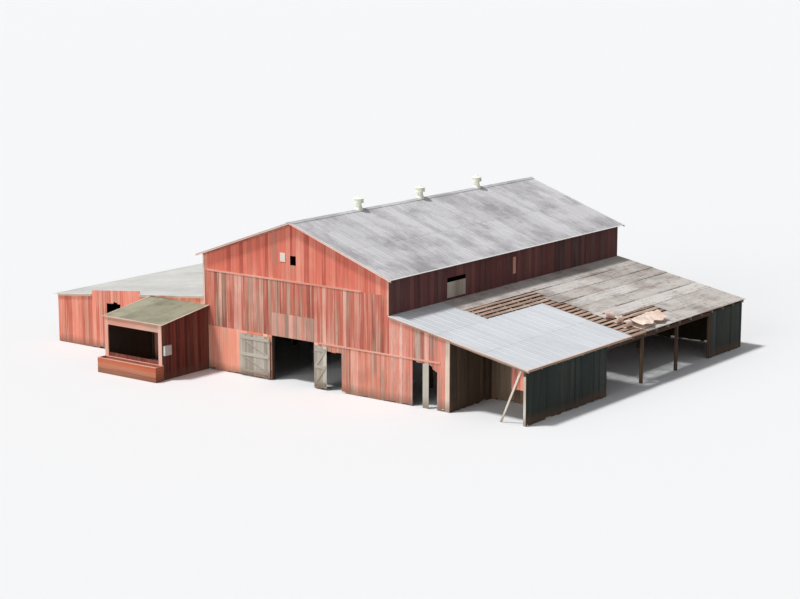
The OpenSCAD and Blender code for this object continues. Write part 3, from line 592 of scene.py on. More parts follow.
def place(piece, slot, *nodes, body="building"):
    """Keeps a finished piece inside the frame's box, attaches it to its body and hides its nodes.
    """
    for vertex in piece.data.vertices:
        vertex.co = [min(max(value, low), high) for value, low, high in zip(vertex.co, *cad_box)]
    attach(piece, body)
    if nodes:
        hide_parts(*nodes)
    piece.data.calc_loop_triangles()
    print(piece.name, "has", len(piece.data.loop_triangles), "triangles and rides on", body)

print("trees can be grown")

# %% The tree of boards
BOARD_SIZES = {"Board Width": 0.28, "Gap": 0.004, "Thickness": 0.021, "Uneven": 0.006,
               "Ragged": 0.0, "Seed": 1}
board_tree, bench, given, points = start_tree("Boards", BOARD_SIZES)
length = stored(bench, "length")
wanted = bench.math("DIVIDE", length, given["Board Width"])
count = bench.math("MAXIMUM", bench.math("ROUND", wanted), 1.0)
copies = bench.add("GeometryNodeDuplicateElements", {0: points, 2: count}, domain="POINT")
numbered = store(bench, copies.outputs[0], "number", copies.outputs[1])
cube = bench.add("GeometryNodeMeshCube", {"Size": (1.0, 1.0, 1.0), "Vertices X": 4,
                                          "Vertices Y": 2, "Vertices Z": 7}).outputs[0]
solid = laid_out(bench, numbered, cube)
corner = stored(bench, "corner", "FLOAT_VECTOR")
across, deep, up = [bench.plus(part, 0.5) for part in bench.parts(corner)]
print("a board is a cube with", len(board_tree.nodes), "nodes before it")

# %% Edges of a board
# The edges are evenly spaced, then shifted by a share of a width, apart from the panel's own ends
EDGE_SHIFT = 0.22
PANEL_STEP = 499.0
number = stored(bench, "number")
panel_number = bench.times(stored(bench, "panel"), PANEL_STEP)


def edge(step):
    """Place of a board's edge along the panel, in board widths."""
    at = bench.plus(number, step)
    first = bench.math("GREATER_THAN", at, 0.5)
    last = bench.math("LESS_THAN", at, bench.plus(count, -0.5))
    shift = chance(bench, -EDGE_SHIFT, EDGE_SHIFT, bench.plus(panel_number, at), given["Seed"])
    return bench.plus(at, bench.times(bench.times(first, last), shift))

wide = bench.math("DIVIDE", length, count)
half_gap = bench.times(given["Gap"], 0.5)
left = bench.plus(bench.times(edge(0.0), wide), half_gap)
right = bench.math("SUBTRACT", bench.times(edge(1.0), wide), half_gap)
along = bench.between(across, left, right)
share = bench.math("DIVIDE", along, length)
print("edges shift by up to", EDGE_SHIFT, "of a board's width")

# %% Foot, head and surface of a board
# The grain's pattern moves this far, across and along, from one board to the next
SHIFT_ACROSS = 37.0
SHIFT_ALONG = 91.0
# In a metre: chips along the foot, and bends up a board
CHIPS = 9.0
BENDS = 0.7
identity = bench.plus(panel_number, number)
tone = chance(bench, 0.0, 1.0, identity, bench.plus(given["Seed"], 7))
# The foot rots away unevenly: one height for the board and one for each of its corners
rot = chance(bench, 0.0, 1.0, identity, bench.plus(given["Seed"], 3))
chip = waves(bench, bench.vector(bench.times(along, CHIPS), identity, 0.0), 2.0)
lost = bench.times(bench.times(bench.times(rot, rot), given["Ragged"]), bench.plus(chip, 0.5))
foot = bench.plus(bench.between(share, stored(bench, "low_a"), stored(bench, "low_b")), lost)
head = bench.between(share, stored(bench, "high_a"), stored(bench, "high_b"))
height = bench.between(up, foot, head)
# Each board stands back a little from the next, and is warped along its length
back = chance(bench, 0.0, 1.0, identity, bench.plus(given["Seed"], 11))
bow = waves(bench, bench.vector(identity, bench.times(height, BENDS), across), 1.0)
stand = bench.times(bench.between(bow, back, 0.4), given["Uneven"])
depth = bench.plus(stand, bench.times(deep, given["Thickness"]))
grain = bench.vector(bench.plus(along, bench.times(tone, SHIFT_ACROSS)), depth,
                     bench.plus(height, bench.times(tone, SHIFT_ALONG)))
end_tree(bench, given, store(bench, solid, "inside", deep), corner,
         bench.vector(along, depth, height), tone, grain)
print("the board tree has", len(board_tree.nodes), "nodes")

# %% Boards on every wall
def board_wall(name, finish, slot, seed, body="building", middle=barn_middle, panels=slice(None),
               part="", **sizes):
    """Boards in place of one wall node, or of a part of its panels that has its own finish."""
    rows = panels_of(name, middle)[panels]
    piece = grow("boarded_" + name + part, rows, board_tree, finish, BOARD_SIZES, seed, sizes)
    place(piece, slot, *([] if part else [name]), body=body)

board_wall("front_lower_boards", "low_paint", "red_boards", 11, panels=slice(1, None), ragged=0.10,
           gap=0.008, uneven=0.009)
# The panel beside the shed takes a lighter paint, partly painted light against the shed's shadow
board_wall("front_lower_boards", "corner_paint_with_painted_light", "red_boards", 29, panels=slice(0, 1),
           part="_left", ragged=0.10, gap=0.006)
board_wall("front_upper_boards", "wall_paint", "red_boards", 12, board_width=0.26, gap=0.009,
           uneven=0.009)
board_wall("door_head_boards", "patch_paint", "pale_red_boards", 13, board_width=0.24, gap=0.008)
board_wall("front_gable_boards", "gable_paint", "red_boards", 14, gap=0.006)
# The side walls' dark red is partly painted shade
board_wall("main_side_boards", "red_paint_with_painted_shade", "dark_red_boards", 15)
board_wall("main_rear_boards", "wall_paint", "red_boards", 16, ragged=0.10)
board_wall("side_hatch_panel", "grey_paint", "grey_boards", 17, board_width=0.2)
board_wall("right_front_boards", "lean_paint", "pale_red_boards", 18, board_width=0.22,
           ragged=0.12, gap=0.009, uneven=0.009)
# The low side wall's near-black grey is partly painted shade
board_wall("right_side_boards", "grey_boards_with_painted_shade", "dark_red_boards", 19, ragged=0.12)
board_wall("right_rear_boards", "wall_paint", "red_boards", 20, ragged=0.10)
board_wall("right_cross_wall", "brown_boards", "dark_red_boards", 21, ragged=0.10)
board_wall("right_partition", "brown_boards", "bare_timber", 22, ragged=0.10)
board_wall("left_front_boards", "left_paint", "red_boards", 23, ragged=0.12, gap=0.007)
board_wall("left_boards", "wall_paint", "red_boards", 24, ragged=0.10)
# The shed's dark maroon is partly painted shade
board_wall("shed_boards", "shed_red_with_painted_shade", "dark_red_boards", 25, middle=shed_middle, board_width=0.2)
board_wall("right_door_board", "grey_paint", "grey_boards", 26, board_width=0.4)
for leaf, seed in (("left_leaf", 27), ("right_leaf", 28)):
    board_wall(leaf + "_boards", "grey_paint", "grey_boards", seed, body=leaf, board_width=0.19,
               uneven=0.003)
print("walls boarded with", panel_count, "panels")

# %% [markdown]
# Posts, beams and rafters are sticks that the frame already has at the right size. A sawn timber
# isn't a perfect box, so each stick is copied, divided along its length, roughened by a few
# millimetres and given soft edges. Its grain is measured in the stick's own directions. Blender's
# vector noise starts from the clock unless it has a seed, and a fixed one keeps every run the same.

# %% A fixed start for the noise
NOISE_SEED = 2
DENTS = 1.9
# The noise starts this many metres further on for each whole of a stick's luck
LUCK_STEP = 50
noise.seed_set(NOISE_SEED)
print("the noise starts from seed", NOISE_SEED, "and has about", DENTS, "dents in a metre")

# %% Timber from a node
# An edge belongs to a stick's length when their directions agree this well
PARALLEL = 0.97


def long_way(stick):
    """Direction and length of a stick."""
    low, high = reach_of([vert.co for vert in stick.verts])
    spans = [last - first for first, last in zip(low, high)]
    axis = spans.index(max(spans))
    ranked = sorted((vert.co for vert in stick.verts),
                    key=lambda place: (round(place[axis], 4), tuple(place)))
    half = len(ranked) // 2
    ends = [sum(part, Vector()) / half for part in (ranked[:half], ranked[-half:])]
    return (ends[1] - ends[0]).normalized(), max(spans)


def grained_piece(name, places, faces, tones, grains, finish):
    """A piece whose corners carry a tone and a grain, with its finish."""
    mesh = bpy.data.meshes.new(name)
    mesh.from_pydata(places, [], faces)
    mesh.attributes.new("board", "FLOAT", "POINT").data.foreach_set("value", tones)
    mesh.attributes.new("grain", "FLOAT_VECTOR", "POINT").data.foreach_set("vector", grains)
    mesh.materials.append(finishes[finish])
    return in_scene(name, mesh)


def stick_piece(name, sticks, finish, seed, rough, bevel, step=0.7, most_cuts=24):
    """Roughens every stick and makes one piece of them."""
    places, faces, tones, grains = [], [], [], []
    dice = random.Random(seed)
    for stick in sticks:
        bmesh.ops.dissolve_limit(stick, angle_limit=math.radians(1), verts=stick.verts,
                                 edges=stick.edges)
        way, size = long_way(stick)
        rails = [edge for edge in stick.edges
                 if abs((edge.verts[0].co - edge.verts[1].co).normalized().dot(way)) > PARALLEL]
        cuts = min(int(size / step), most_cuts)
        if cuts:
            bmesh.ops.subdivide_edges(stick, edges=rails, cuts=cuts, use_grid_fill=True)
        bmesh.ops.recalc_face_normals(stick, faces=stick.faces)
        side = Vector((0, 0, 1)) if abs(way.z) < 0.9 else Vector((1, 0, 0))
        cross = way.cross(side).normalized()
        side = cross.cross(way)
        luck = dice.random()
        first = len(places)
        stick.verts.index_update()
        for vert in stick.verts:
            tones.append(luck)
            grains.extend((vert.co.dot(cross) + SHIFT_ACROSS * luck, vert.co.dot(side),
                           vert.co.dot(way) + SHIFT_ALONG * luck))
            push = noise.noise_vector(vert.co * DENTS + Vector((luck * LUCK_STEP, 0, 0))) * rough
            places.append(vert.co + push - way * push.dot(way))
        for face in stick.faces:
            faces.append([first + vert.index for vert in face.verts])
        stick.free()
    piece = grained_piece(name, places, faces, tones, grains, finish)
    soften = piece.modifiers.new("Edges", "BEVEL")
    soften.width = bevel
    soften.segments = 1
    soften.limit_method = "ANGLE"
    soften.angle_limit = math.radians(40)
    return piece


def timber(name, finish, slot, seed, body="building", rough=0.004, bevel=0.006):
    """Sawn timber in place of one node of sticks."""
    piece = stick_piece("sawn_" + name, node_solids(name), finish, seed, rough, bevel)
    place(piece, slot, name, body=body)

print("timbers can be sawn")

# %% Timbers and trim
for seed, name in enumerate(("main_posts", "main_ties", "main_braces", "main_plates", "queen_posts",
                             "main_rafters", "main_purlins", "front_girts", "right_posts",
                             "right_beams", "left_posts", "left_beams", "left_rafters",
                             "left_roof_purlins", "shed_frame", "shed_rafters"), 40):
    timber(name, "indoor_timber", "bare_timber", seed)
timber("right_rafters", "outdoor_timber", "bare_timber", 60)
timber("right_corner_post", "white_paint", "pale_trim", 61)
for name, finish, slot, seed in (("main_trim", "trim_paint", "pale_trim", 62),
                                 ("shed_trim", "trim_paint", "pale_trim", 63),
                                 ("right_trim", "cream_paint", "pale_trim", 67),
                                 ("left_trim", "cream_paint", "pale_trim", 68),
                                 ("loft_shutter", "white_paint", "white_paint", 64)):
    timber(name, finish, slot, seed, rough=0.002, bevel=0.003)
for leaf, seed in (("left_leaf", 65), ("right_leaf", 66)):
    timber(leaf + "_ledges", "grey_paint", "grey_boards", seed, body=leaf, rough=0.001,
           bevel=0.003)

# %% [markdown]
# Under the right lean-to's sheets lie rows of boards, open to the sky along the bare strip. The
# frame has each row in one length. Real rows are pieced together from short boards that have
# shifted, cupped and partly split, so every row is cut here and its boards are moved a little.

# %% Pieced rows
NARROWEST = 0.05
BOX_FACES = ((3, 2, 1, 0), (4, 5, 6, 7), (0, 1, 5, 4), (1, 2, 6, 5), (2, 3, 7, 6), (3, 0, 4, 7))


def add_box(mesh, corners):
    """A closed box from eight corners, lower four first, each four in turn."""
    verts = [mesh.verts.new(corner) for corner in corners]
    for face in BOX_FACES:
        mesh.faces.new([verts[index] for index in face])


def pieced_rows(name, finish, slot, seed, shortest=2.6, longest=4.6, rest=0.8, gap=0.012,
                shift=0.02, thinner=0.004):
    """Short boards along every row of a node, which runs along Y and slopes along X."""
    mesh = bmesh.new()
    dice = random.Random(seed)
    for points in solids_of(name):
        x, y = list(zip(*reach_of(points)))[:2]
        foot = [min(p.z for p in points if abs(p.x - end) < NEAR) for end in x]
        head = [max(p.z for p in points if abs(p.x - end) < NEAR) for end in x]
        fall = (head[1] - head[0]) / (x[1] - x[0])
        thick = head[0] - foot[0] - thinner
        start = y[0]
        while start < y[1] - NARROWEST:
            end = min(start + dice.uniform(shortest, longest), y[1])
            if y[1] - end < rest:
                end = y[1]
            narrow = dice.uniform(-0.02, 0.01)
            slide = [dice.uniform(-shift, shift) for side in (0, 1)]
            lift = dice.uniform(0.0, 0.003)
            box = []
            for low in (True, False):
                for at, turn in ((0, 0), (1, 0), (1, 1), (0, 1)):
                    place_x = x[at] + slide[turn] + (narrow if at == 0 else -narrow)
                    place_y = start + gap / 2 if turn == 0 else end - gap / 2
                    height = foot[0] + fall * (place_x - x[0]) + lift + (0 if low else thick)
                    box.append((place_x, place_y, height))
            add_box(mesh, box)
            start = end
    piece = stick_piece("pieced_" + name, split(mesh), finish, seed, rough=0.003, bevel=0.003,
                        step=1.2)
    place(piece, slot, name)

pieced_rows("right_sheathing", "outdoor_timber", "bare_timber", 70)

# %% [markdown]
# A crimped sheet is about 0.6 m wide, with small ridges along both edges and one in the middle. A
# roof is columns of such sheets, each course lapping the one below. Python reads where a column is
# covered, and a tree turns every sheet's numbers into a ribbed, slightly buckled sheet.

# %% Slope and outline of a roof
def slope_of(points, steep):
    """Height of a roof solid's top where its axis is zero, and its rise along that axis."""
    ends = [end[steep] for end in reach_of(points)]
    tops = [max(p.z for p in points if abs(p[steep] - end) < NEAR) for end in ends]
    rise = (tops[1] - tops[0]) / (ends[1] - ends[0])
    return tops[0] - rise * ends[0], rise


def covered(outline, at, axis):
    """The stretch of a convex outline along the line where an axis has a value."""
    crossings = []
    for first, last in zip(outline, outline[1:] + outline[:1]):
        if min(first[axis], last[axis]) <= at <= max(first[axis], last[axis]):
            run = last[axis] - first[axis]
            share = (at - first[axis]) / run if abs(run) > 1e-9 else 0.0
            crossings.append(first[1 - axis] + (last[1 - axis] - first[1 - axis]) * share)
    return (min(crossings), max(crossings)) if crossings else None


def holds(outline, at, side, steep):
    """Whether a roof solid covers a place, given along its slope and along its side."""
    reach = covered(outline, side, 1 - steep)
    return reach is not None and reach[0] < at < reach[1]


def plans_of(name):
    """Corner points of each roof solid, and its outline from above."""
    groups = solids_of(name)
    outlines = [[tuple(points[index][:2]) for index in convex_hull_2d([p.xy for p in points])]
                for points in groups]
    return groups, outlines

print("the main roof rises", round(abs(slope_of(solids_of("main_roof")[0], 0)[1]), 3), "in one")

# %% Sheets laid on a roof
sheet_count = 0


def sheet_row(origin, turn, width, reach, fall, odd):
    """The numbers that a tree needs for one sheet, with a number of its own."""
    global sheet_count
    sheet_count += 1
    return {"origin": origin, "turn": turn, "width": width, "reach": reach, "fall": fall,
            "odd": float(odd % 2), "sheet": float(sheet_count - 1)}


def sheets_of(name, course, lap=0.15, column=0.61, steep=0):
    """Sheets for every roof solid of a node, in columns down the slope along one axis."""
    rows = []
    groups, outlines = plans_of(name)
    for points, outline in zip(groups, outlines):
        base, slope = slope_of(points, steep)
        down = -1 if slope > 0 else 1
        low, high = [end[1 - steep] for end in reach_of(points)]
        for step in range(math.floor(low / column + 1e-6), math.ceil(high / column)):
            edges = [max(step * column, low), min((step + 1) * column, high)]
            if edges[1] - edges[0] < NARROWEST:
                continue
            middle = sum(edges) / 2
            reach = covered(outline, middle, 1 - steep)
            head, foot = reach if down > 0 else (reach[1], reach[0])
            total = abs(foot - head)
            count = max(1, round(total / course))
            below = foot + down * 0.02
            goes_on = any(holds(other, below, middle, steep) for other in outlines)
            for tier in range(count):
                start = tier * total / count
                end = (tier + 1) * total / count + (lap if goes_on or tier < count - 1 else 0.0)
                at = head + down * start
                level = base + slope * at
                if steep == 0:
                    origin = (at, edges[1] if down > 0 else edges[0], level)
                    turn = -down * math.pi / 2
                else:
                    origin = (edges[1], at, level)
                    turn = math.pi
                rows.append(sheet_row(origin, turn, edges[1] - edges[0], end - start, abs(slope),
                                      step))
    return rows

main_rows = sheets_of("main_roof", 2.6)
print("the main roof takes", len(main_rows), "sheets")

# %% [markdown]
# The old roof of the right lean-to is covered in another way. Its strips lie level, one over the
# other like shingles, so the laps and the dirt run along the building. Where the wind has torn it,
# each strip ends at a place of its own.

# %% Strips laid along a roof
def strips_of(name, seed, course=0.92, lap=0.09, longest=6.5, rest=1.5, spill=0.35, margin=0.06):
    """Level strips for every solid of a roof that falls along +X."""
    rows = []
    dice = random.Random(seed)
    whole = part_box(name)
    groups, outlines = plans_of(name)
    for points, outline in zip(groups, outlines):
        base, rise = slope_of(points, 0)
        low, high = [end[0] for end in reach_of(points)]
        count = max(1, round((high - low) / course))
        for tier in range(count):
            head, foot = [low + (high - low) * (tier + step) / count for step in (0, 1)]
            ends = list(covered(outline, (head + foot) / 2, 0))
            ends[1] -= margin
            if ends[0] > whole[0][1] + NEAR:
                ends[0] += dice.uniform(-0.3, 1.0) * spill
            if foot < whole[1][0] - NEAR:
                foot += lap
            start = ends[0]
            while start < ends[1] - NARROWEST:
                end = min(start + dice.uniform(0.5, 1.0) * longest, ends[1])
                if ends[1] - end < rest:
                    end = ends[1]
                rows.append(sheet_row((head, end, base + rise * head), -math.pi / 2, end - start,
                                      foot - head, abs(rise), len(rows)))
                start = end
    return rows

old_rows = strips_of("right_old_sheets", 5)
print("the old roof takes", len(old_rows), "strips")

# %% The tree of sheets
SHEET_SIZES = {"Rib Height": 0.008, "Side Lap": 0.03, "Buckle": 0.004, "Lift": 0.004, "Bed": 0.020,
               "Seed": 1}
SHEET_COLUMNS = 32
RIB_COLUMNS = (1, 3, 16, 29, 31)
# Buckles in a metre, across and down, and how high a sheet lies over its neighbour and the next
BUCKLES = (2.5, 1.3)
OVER_NEIGHBOUR = 0.0015
OVER_NEXT = 0.003
sheet_tree, bench, given, points = start_tree("Sheets", SHEET_SIZES)
grid = bench.add("GeometryNodeMeshGrid", {"Size X": 1.0, "Size Y": 1.0, "Vertices Y": 5,
                                          "Vertices X": SHEET_COLUMNS + 1}).outputs[0]
solid = laid_out(bench, points, grid)
corner = stored(bench, "corner", "FLOAT_VECTOR")
across, down = [bench.plus(part, 0.5) for part in bench.parts(corner)[:2]]
width = stored(bench, "width")
reach = stored(bench, "reach")
identity = stored(bench, "sheet")
tone = chance(bench, 0.0, 1.0, identity, given["Seed"])
wide = bench.plus(width, given["Side Lap"])
x = bench.math("SUBTRACT", bench.times(across, wide), bench.times(given["Side Lap"], 0.5))
y = bench.times(down, reach)
print("a sheet is a grid of", SHEET_COLUMNS, "columns")

# %% Ribs, buckles and loose corners of a sheet
# A sheet that was cut narrow keeps no ribs
ribs = 0.0
for column in RIB_COLUMNS:
    at_column = bench.math("COMPARE", bench.times(across, float(SHEET_COLUMNS)), float(column), 0.5)
    ribs = bench.plus(ribs, at_column)
ribbed = bench.times(bench.times(ribs, bench.spread(width, 0.2, 0.5)), given["Rib Height"])
spread_out = [bench.times(part, often) for part, often in zip((x, y), BUCKLES)]
buckle = waves(bench, bench.vector(*spread_out, identity), 2.0)
corner_number = bench.plus(bench.times(identity, 4.0), bench.math("ROUND", across))
corner_luck = chance(bench, 0.0, 1.0, corner_number, bench.plus(given["Seed"], 5))
loose = bench.times(bench.times(corner_luck, bench.math("POWER", down, 4.0)), given["Lift"])
# Every second sheet lies over its neighbours, and each one's foot over the next one's head
over = (bench.times(stored(bench, "odd"), OVER_NEIGHBOUR), bench.times(down, OVER_NEXT))
sunk = (bench.times(given["Bed"], -1.0),
        bench.times(bench.times(y, stored(bench, "fall")), -1.0))
z = 0.0
for part in (ribbed, loose, bench.times(bench.plus(buckle, -0.5), given["Buckle"]), *over, *sunk):
    z = bench.plus(z, part)
grain = bench.vector(bench.plus(x, bench.times(tone, SHIFT_ACROSS)), y,
                     bench.math("SUBTRACT", reach, y))
end_tree(bench, given, solid, corner, bench.vector(x, y, z), tone, grain)
print("the sheet tree has", len(sheet_tree.nodes), "nodes")

# %% Sheets on every roof
SHEET_SKIN = 0.0015


def sheet_roof(name, rows, finish, slot, seed, **sizes):
    """Crimped sheets in place of one roof node."""
    piece = grow("sheeted_" + name, rows, sheet_tree, finish, SHEET_SIZES, seed, sizes, SHEET_SKIN)
    place(piece, slot, name)

sheet_roof("main_roof", main_rows, "grey_metal", "grey_sheets", 81)
sheet_roof("left_roof", sheets_of("left_roof", 3.0), "left_metal", "white_sheets", 82)
sheet_roof("right_new_sheets", sheets_of("right_new_sheets", 3.0), "new_metal", "white_sheets", 83)
sheet_roof("right_old_sheets", old_rows, "old_metal", "rusty_sheets", 84, rib_height=0.0,
           side_lap=0.12, buckle=0.020, lift=0.030, bed=0.012)
sheet_roof("shed_roof", sheets_of("shed_roof", 4.0, column=0.9, steep=1), "shed_felt",
           "shed_sheets", 85, rib_height=0.0, buckle=0.010)

# %% [markdown]
# The sheets are thin, so a folded strip or a board hides their ends along a roof's outer edges and
# gives the roof its line. Each strip follows a side of a roof solid, and only the sides that lie at
# the outside of the whole roof get one. The gable ends of the main roof have a painted board.

# %% Edges of the roofs
# A side is an axis and which end of it: 0 for the low end and 1 for the high end
LEFT, RIGHT, FRONT, REAR = (0, 0), (0, 1), (1, 0), (1, 1)
ALL_SIDES = (LEFT, RIGHT, FRONT, REAR)


def slab(mesh, x, y, base, rise, steep, top, thick):
    """A box between two x and two y that follows a slope, with its top a depth below it."""
    corners = []
    for drop in (top + thick, top):
        for at in ((x[0], y[0]), (x[1], y[0]), (x[1], y[1]), (x[0], y[1])):
            corners.append((*at, base + rise * at[steep] - drop))
    add_box(mesh, corners)


def edge_strips(name, finish, slot, seed, sides, steep=0, wide=0.07, top=0.006, thick=0.018,
                prefix="edged_", only=None):
    """Strips along all or some of the sides of a roof that lie at its outside."""
    mesh = bmesh.new()
    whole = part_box(name)
    for points in solids_of(name):
        base, rise = slope_of(points, steep)
        box = reach_of(points)
        for axis, end in only or sides:
            at = box[end][axis]
            if abs(at - whole[end][axis]) > NEAR:
                continue
            spans = [[box[0][0], box[1][0]], [box[0][1], box[1][1]]]
            spans[axis] = [at, at + wide] if end == 0 else [at - wide, at]
            if axis == steep:
                # The strips down the slope run on to the corner, so this one stops short of them
                for other in (0, 1):
                    if (1 - axis, other) in sides:
                        spans[1 - axis][other] += wide if other == 0 else -wide
            slab(mesh, *spans, base, rise, steep, top, thick)
    piece = stick_piece(prefix + name, split(mesh), finish, seed, rough=0.002, bevel=0.003,
                        step=1.0)
    place(piece, slot)

edge_strips("main_roof", "pale_edge", "grey_sheets", 91, ALL_SIDES)
edge_strips("main_roof", "rake_paint", "pale_trim", 98, ALL_SIDES, only=(FRONT, REAR), wide=0.045,
            top=0.0245, thick=0.085, prefix="boarded_edge_of_")
edge_strips("left_roof", "pale_edge", "white_sheets", 92, (LEFT, FRONT, REAR))
edge_strips("right_new_sheets", "cream_paint", "white_sheets", 93, (RIGHT, FRONT))
edge_strips("right_old_sheets", "tan_edge", "rusty_sheets", 94, (RIGHT, REAR), top=0.012,
            thick=0.012)
edge_strips("shed_roof", "tan_edge", "shed_sheets", 95, (LEFT, RIGHT, FRONT), steep=1, wide=0.09)

# %% [markdown]
# The ridge is closed by bent strips that lap over each other every few metres. Each is a thin slab
# with a lip along its low side. The sheets lie a little lower, so a closure strip fills the slot
# under the lip.

# %% Ridge cap
def capped_ridge(name, finish, closer_finish, slot, seed, longest=2.6, lap=0.1, thick=0.003,
                 lip=0.010, inset=0.004, closer=0.020, sheets=0.031):
    """Lapped strips with a lip in place of the ridge cap's two halves, and their closures."""
    strips, closures = bmesh.new(), bmesh.new()
    for points in solids_of(name):
        base, rise = slope_of(points, 0)
        x, y = list(zip(*reach_of(points)))[:2]
        foot, top, inwards = (x[0], x[1], 1) if rise > 0 else (x[1], x[0], -1)
        edge = sorted((foot, foot + inwards * thick))
        flat = sorted((foot + inwards * thick, top))
        start = foot + inwards * inset
        slab(closures, sorted((start, start + inwards * closer)), (y[0] + inset, y[1] - inset),
             base, rise, 0, lip, sheets - lip)
        count = math.ceil((y[1] - y[0]) / longest)
        step = (y[1] - y[0]) / count
        for number in range(count):
            ends = (y[0] + number * step, min(y[0] + (number + 1) * step + lap, y[1]))
            # Every second strip lies lower, so that its neighbours lap over it
            sunk = 0.001 + 0.0035 * (number % 2)
            slab(strips, flat, ends, base, rise, 0, sunk, thick)
            slab(strips, edge, ends, base, rise, 0, sunk, lip - sunk)
    cap = stick_piece("lapped_" + name, split(strips), finish, seed, rough=0.001, bevel=0.0008,
                      step=1.3)
    place(cap, slot, name)
    filler = stick_piece("closed_" + name, split(closures), closer_finish, seed + 1,
                         rough=0.001, bevel=0.0008, step=1.3)
    place(filler, slot)

# The closures take the pale edge metal, paler than the cap: painted light in the shaded slot under
# the lip
capped_ridge("ridge_cap", "grey_metal", "pale_edge", "grey_sheets", 96)

# %% [markdown]
# The feed bunk is a box of planks on edge, with a lighter rail nailed round its rim. The frame has
# its five panels, which are cut here into courses.

# %% Planks of the feed bunk
def level_slab(mesh, ends, drop, thick):
    """A level box between two corners, with its top a depth below the upper one."""
    x, y, z = zip(*ends)
    slab(mesh, x, y, z[1], 0.0, 0, drop, thick)


def planked(name, finish, rim_finish, slot, seed, courses=3, gap=0.008, rim=0.035, rail=0.06,
            seat=0.001):
    """Planks in place of a node's upright panels and floor, and a rail along the rim."""
    planks, rails = bmesh.new(), bmesh.new()
    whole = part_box(name)
    for points in solids_of(name):
        low, high = reach_of(points)
        upright = high[2] > whole[1][2] - NEAR
        cut = 2 if upright else 1
        top = high[cut] - (rim if upright else 0.0)
        step = (top - low[cut]) / courses
        for number in range(courses):
            ends = [low[:], high[:]]
            ends[0][cut] = low[cut] + number * step
            ends[1][cut] = low[cut] + (number + 1) * step - gap
            level_slab(planks, ends, 0.0, ends[1][2] - ends[0][2])
        if upright:
            thin = 0 if high[0] - low[0] < high[1] - low[1] else 1
            ends = [low[:], high[:]]
            if low[thin] < whole[0][thin] + NEAR:
                ends[1][thin] = low[thin] + rail
            else:
                ends[0][thin] = high[thin] - rail
            if thin == 0:
                ends[0][1] += rail
                ends[1][1] -= rail
            level_slab(rails, ends, seat, rim - 2 * seat)
    box = stick_piece("planked_" + name, split(planks), finish, seed, rough=0.004, bevel=0.004,
                      step=0.6)
    place(box, slot, name)
    rail_piece = stick_piece("rim_of_" + name, split(rails), rim_finish, seed + 1, rough=0.003,
                             bevel=0.004, step=0.6)
    place(rail_piece, slot)

planked("feed_bunk", "bunk_paint", "trim_paint", "red_boards", 97)

# %% [markdown]
# Where the wind has torn the old roof, two strips are folded back over the eave with their pale
# undersides up, and three ends beside the hole have rolled up. A bent sheet is a grid that starts
# flat, turns up along an arc and runs on. Smooth noise crumples it, most of all at its free end.

# %% Crumpled sheets
torn_base, torn_rise = slope_of(solids_of("right_old_sheets")[0], 0)
# A bent sheet's divisions along its length, and how far it keeps from the roof
DIVISION = 0.07
CLEARANCE = 0.012
# Small folds in a metre on top of the dents, and their share of a dent's depth
SMALL_FOLDS = 6.0
SMALL_DEPTH = 0.25
# How unevenly the free end is torn and the width changes, as shares of the sheet
TORN_END = 0.16
TORN_WIDTH = 0.2
# How much of the crumpling the part that lies flat takes
LYING_SHARE = 0.15
bent = {"places": [], "faces": [], "tones": [], "grains": []}


def crumpled(start, heading, flat, radius, turn, tail, length, wrinkle, luck, rows=24):
    """Adds one bent sheet: flat on the roof along its heading, an arc, and a straight tail."""
    columns = max(6, round(length / DIVISION))
    ahead = Vector((math.cos(heading), math.sin(heading), 0.0))
    across = Vector((-ahead.y, ahead.x, 0.0))
    arc = radius * turn
    run = flat + arc + tail
    first = len(bent["places"])
    for row in range(rows + 1):
        share = row / rows
        for column in range(columns + 1):
            side = column / columns - 0.5
            ragged = 0.95 + TORN_END * noise.noise(Vector((side * length * 1.6, luck, 0.0)))
            far = run * share * (1.0 if share < 0.5 else 1.0 + (ragged - 1.0) * (share - 0.5) / 0.5)
            turned = min(max(far - flat, 0.0) / radius, turn)
            beyond = max(far - flat - arc, 0.0)
            forward = min(far, flat) + radius * math.sin(turned) + beyond * math.cos(turn)
            lift = radius * (1.0 - math.cos(turned)) + beyond * math.sin(turn)
            pinch = abs(noise.noise(Vector((share * 4.0, luck, 3.0))))
            width = length * (1.0 - TORN_WIDTH * pinch)
            at = Vector(start) + ahead * forward + across * side * width
            at.z = torn_base + torn_rise * at.x + start[2] + lift
            push = noise.noise_vector(at * DENTS + Vector((0.0, 0.0, luck))) * wrinkle
            fold = noise.noise_vector(at * SMALL_FOLDS + Vector((luck, 0.0, 0.0)))
            push += fold * wrinkle * SMALL_DEPTH
            loose = min(1.0, lift / (0.3 * radius)) if turned > 0 else 0.0
            at += push * (LYING_SHARE + (1.0 - LYING_SHARE) * loose)
            at.z = max(at.z, torn_base + torn_rise * at.x + CLEARANCE)
            bent["places"].append(at)
            bent["grains"].extend((column / columns * length, far, 1.0))
            bent["tones"].append(0.5 + 0.5 * math.sin(luck))
    for row in range(rows):
        for column in range(columns):
            corner = first + row * (columns + 1) + column
            bent["faces"].append((corner, corner + 1, corner + columns + 2, corner + columns + 1))

print("the torn roof falls", round(-torn_rise, 3), "in one")

# %% Folds and rolls on the torn roof
# For each fold: its place from the node's corner, its turn, its length and its luck
FOLDS = ((0.74, 0.60, 0.07, 1.60, 1.7), (0.66, 2.05, -0.06, 1.35, 5.2))
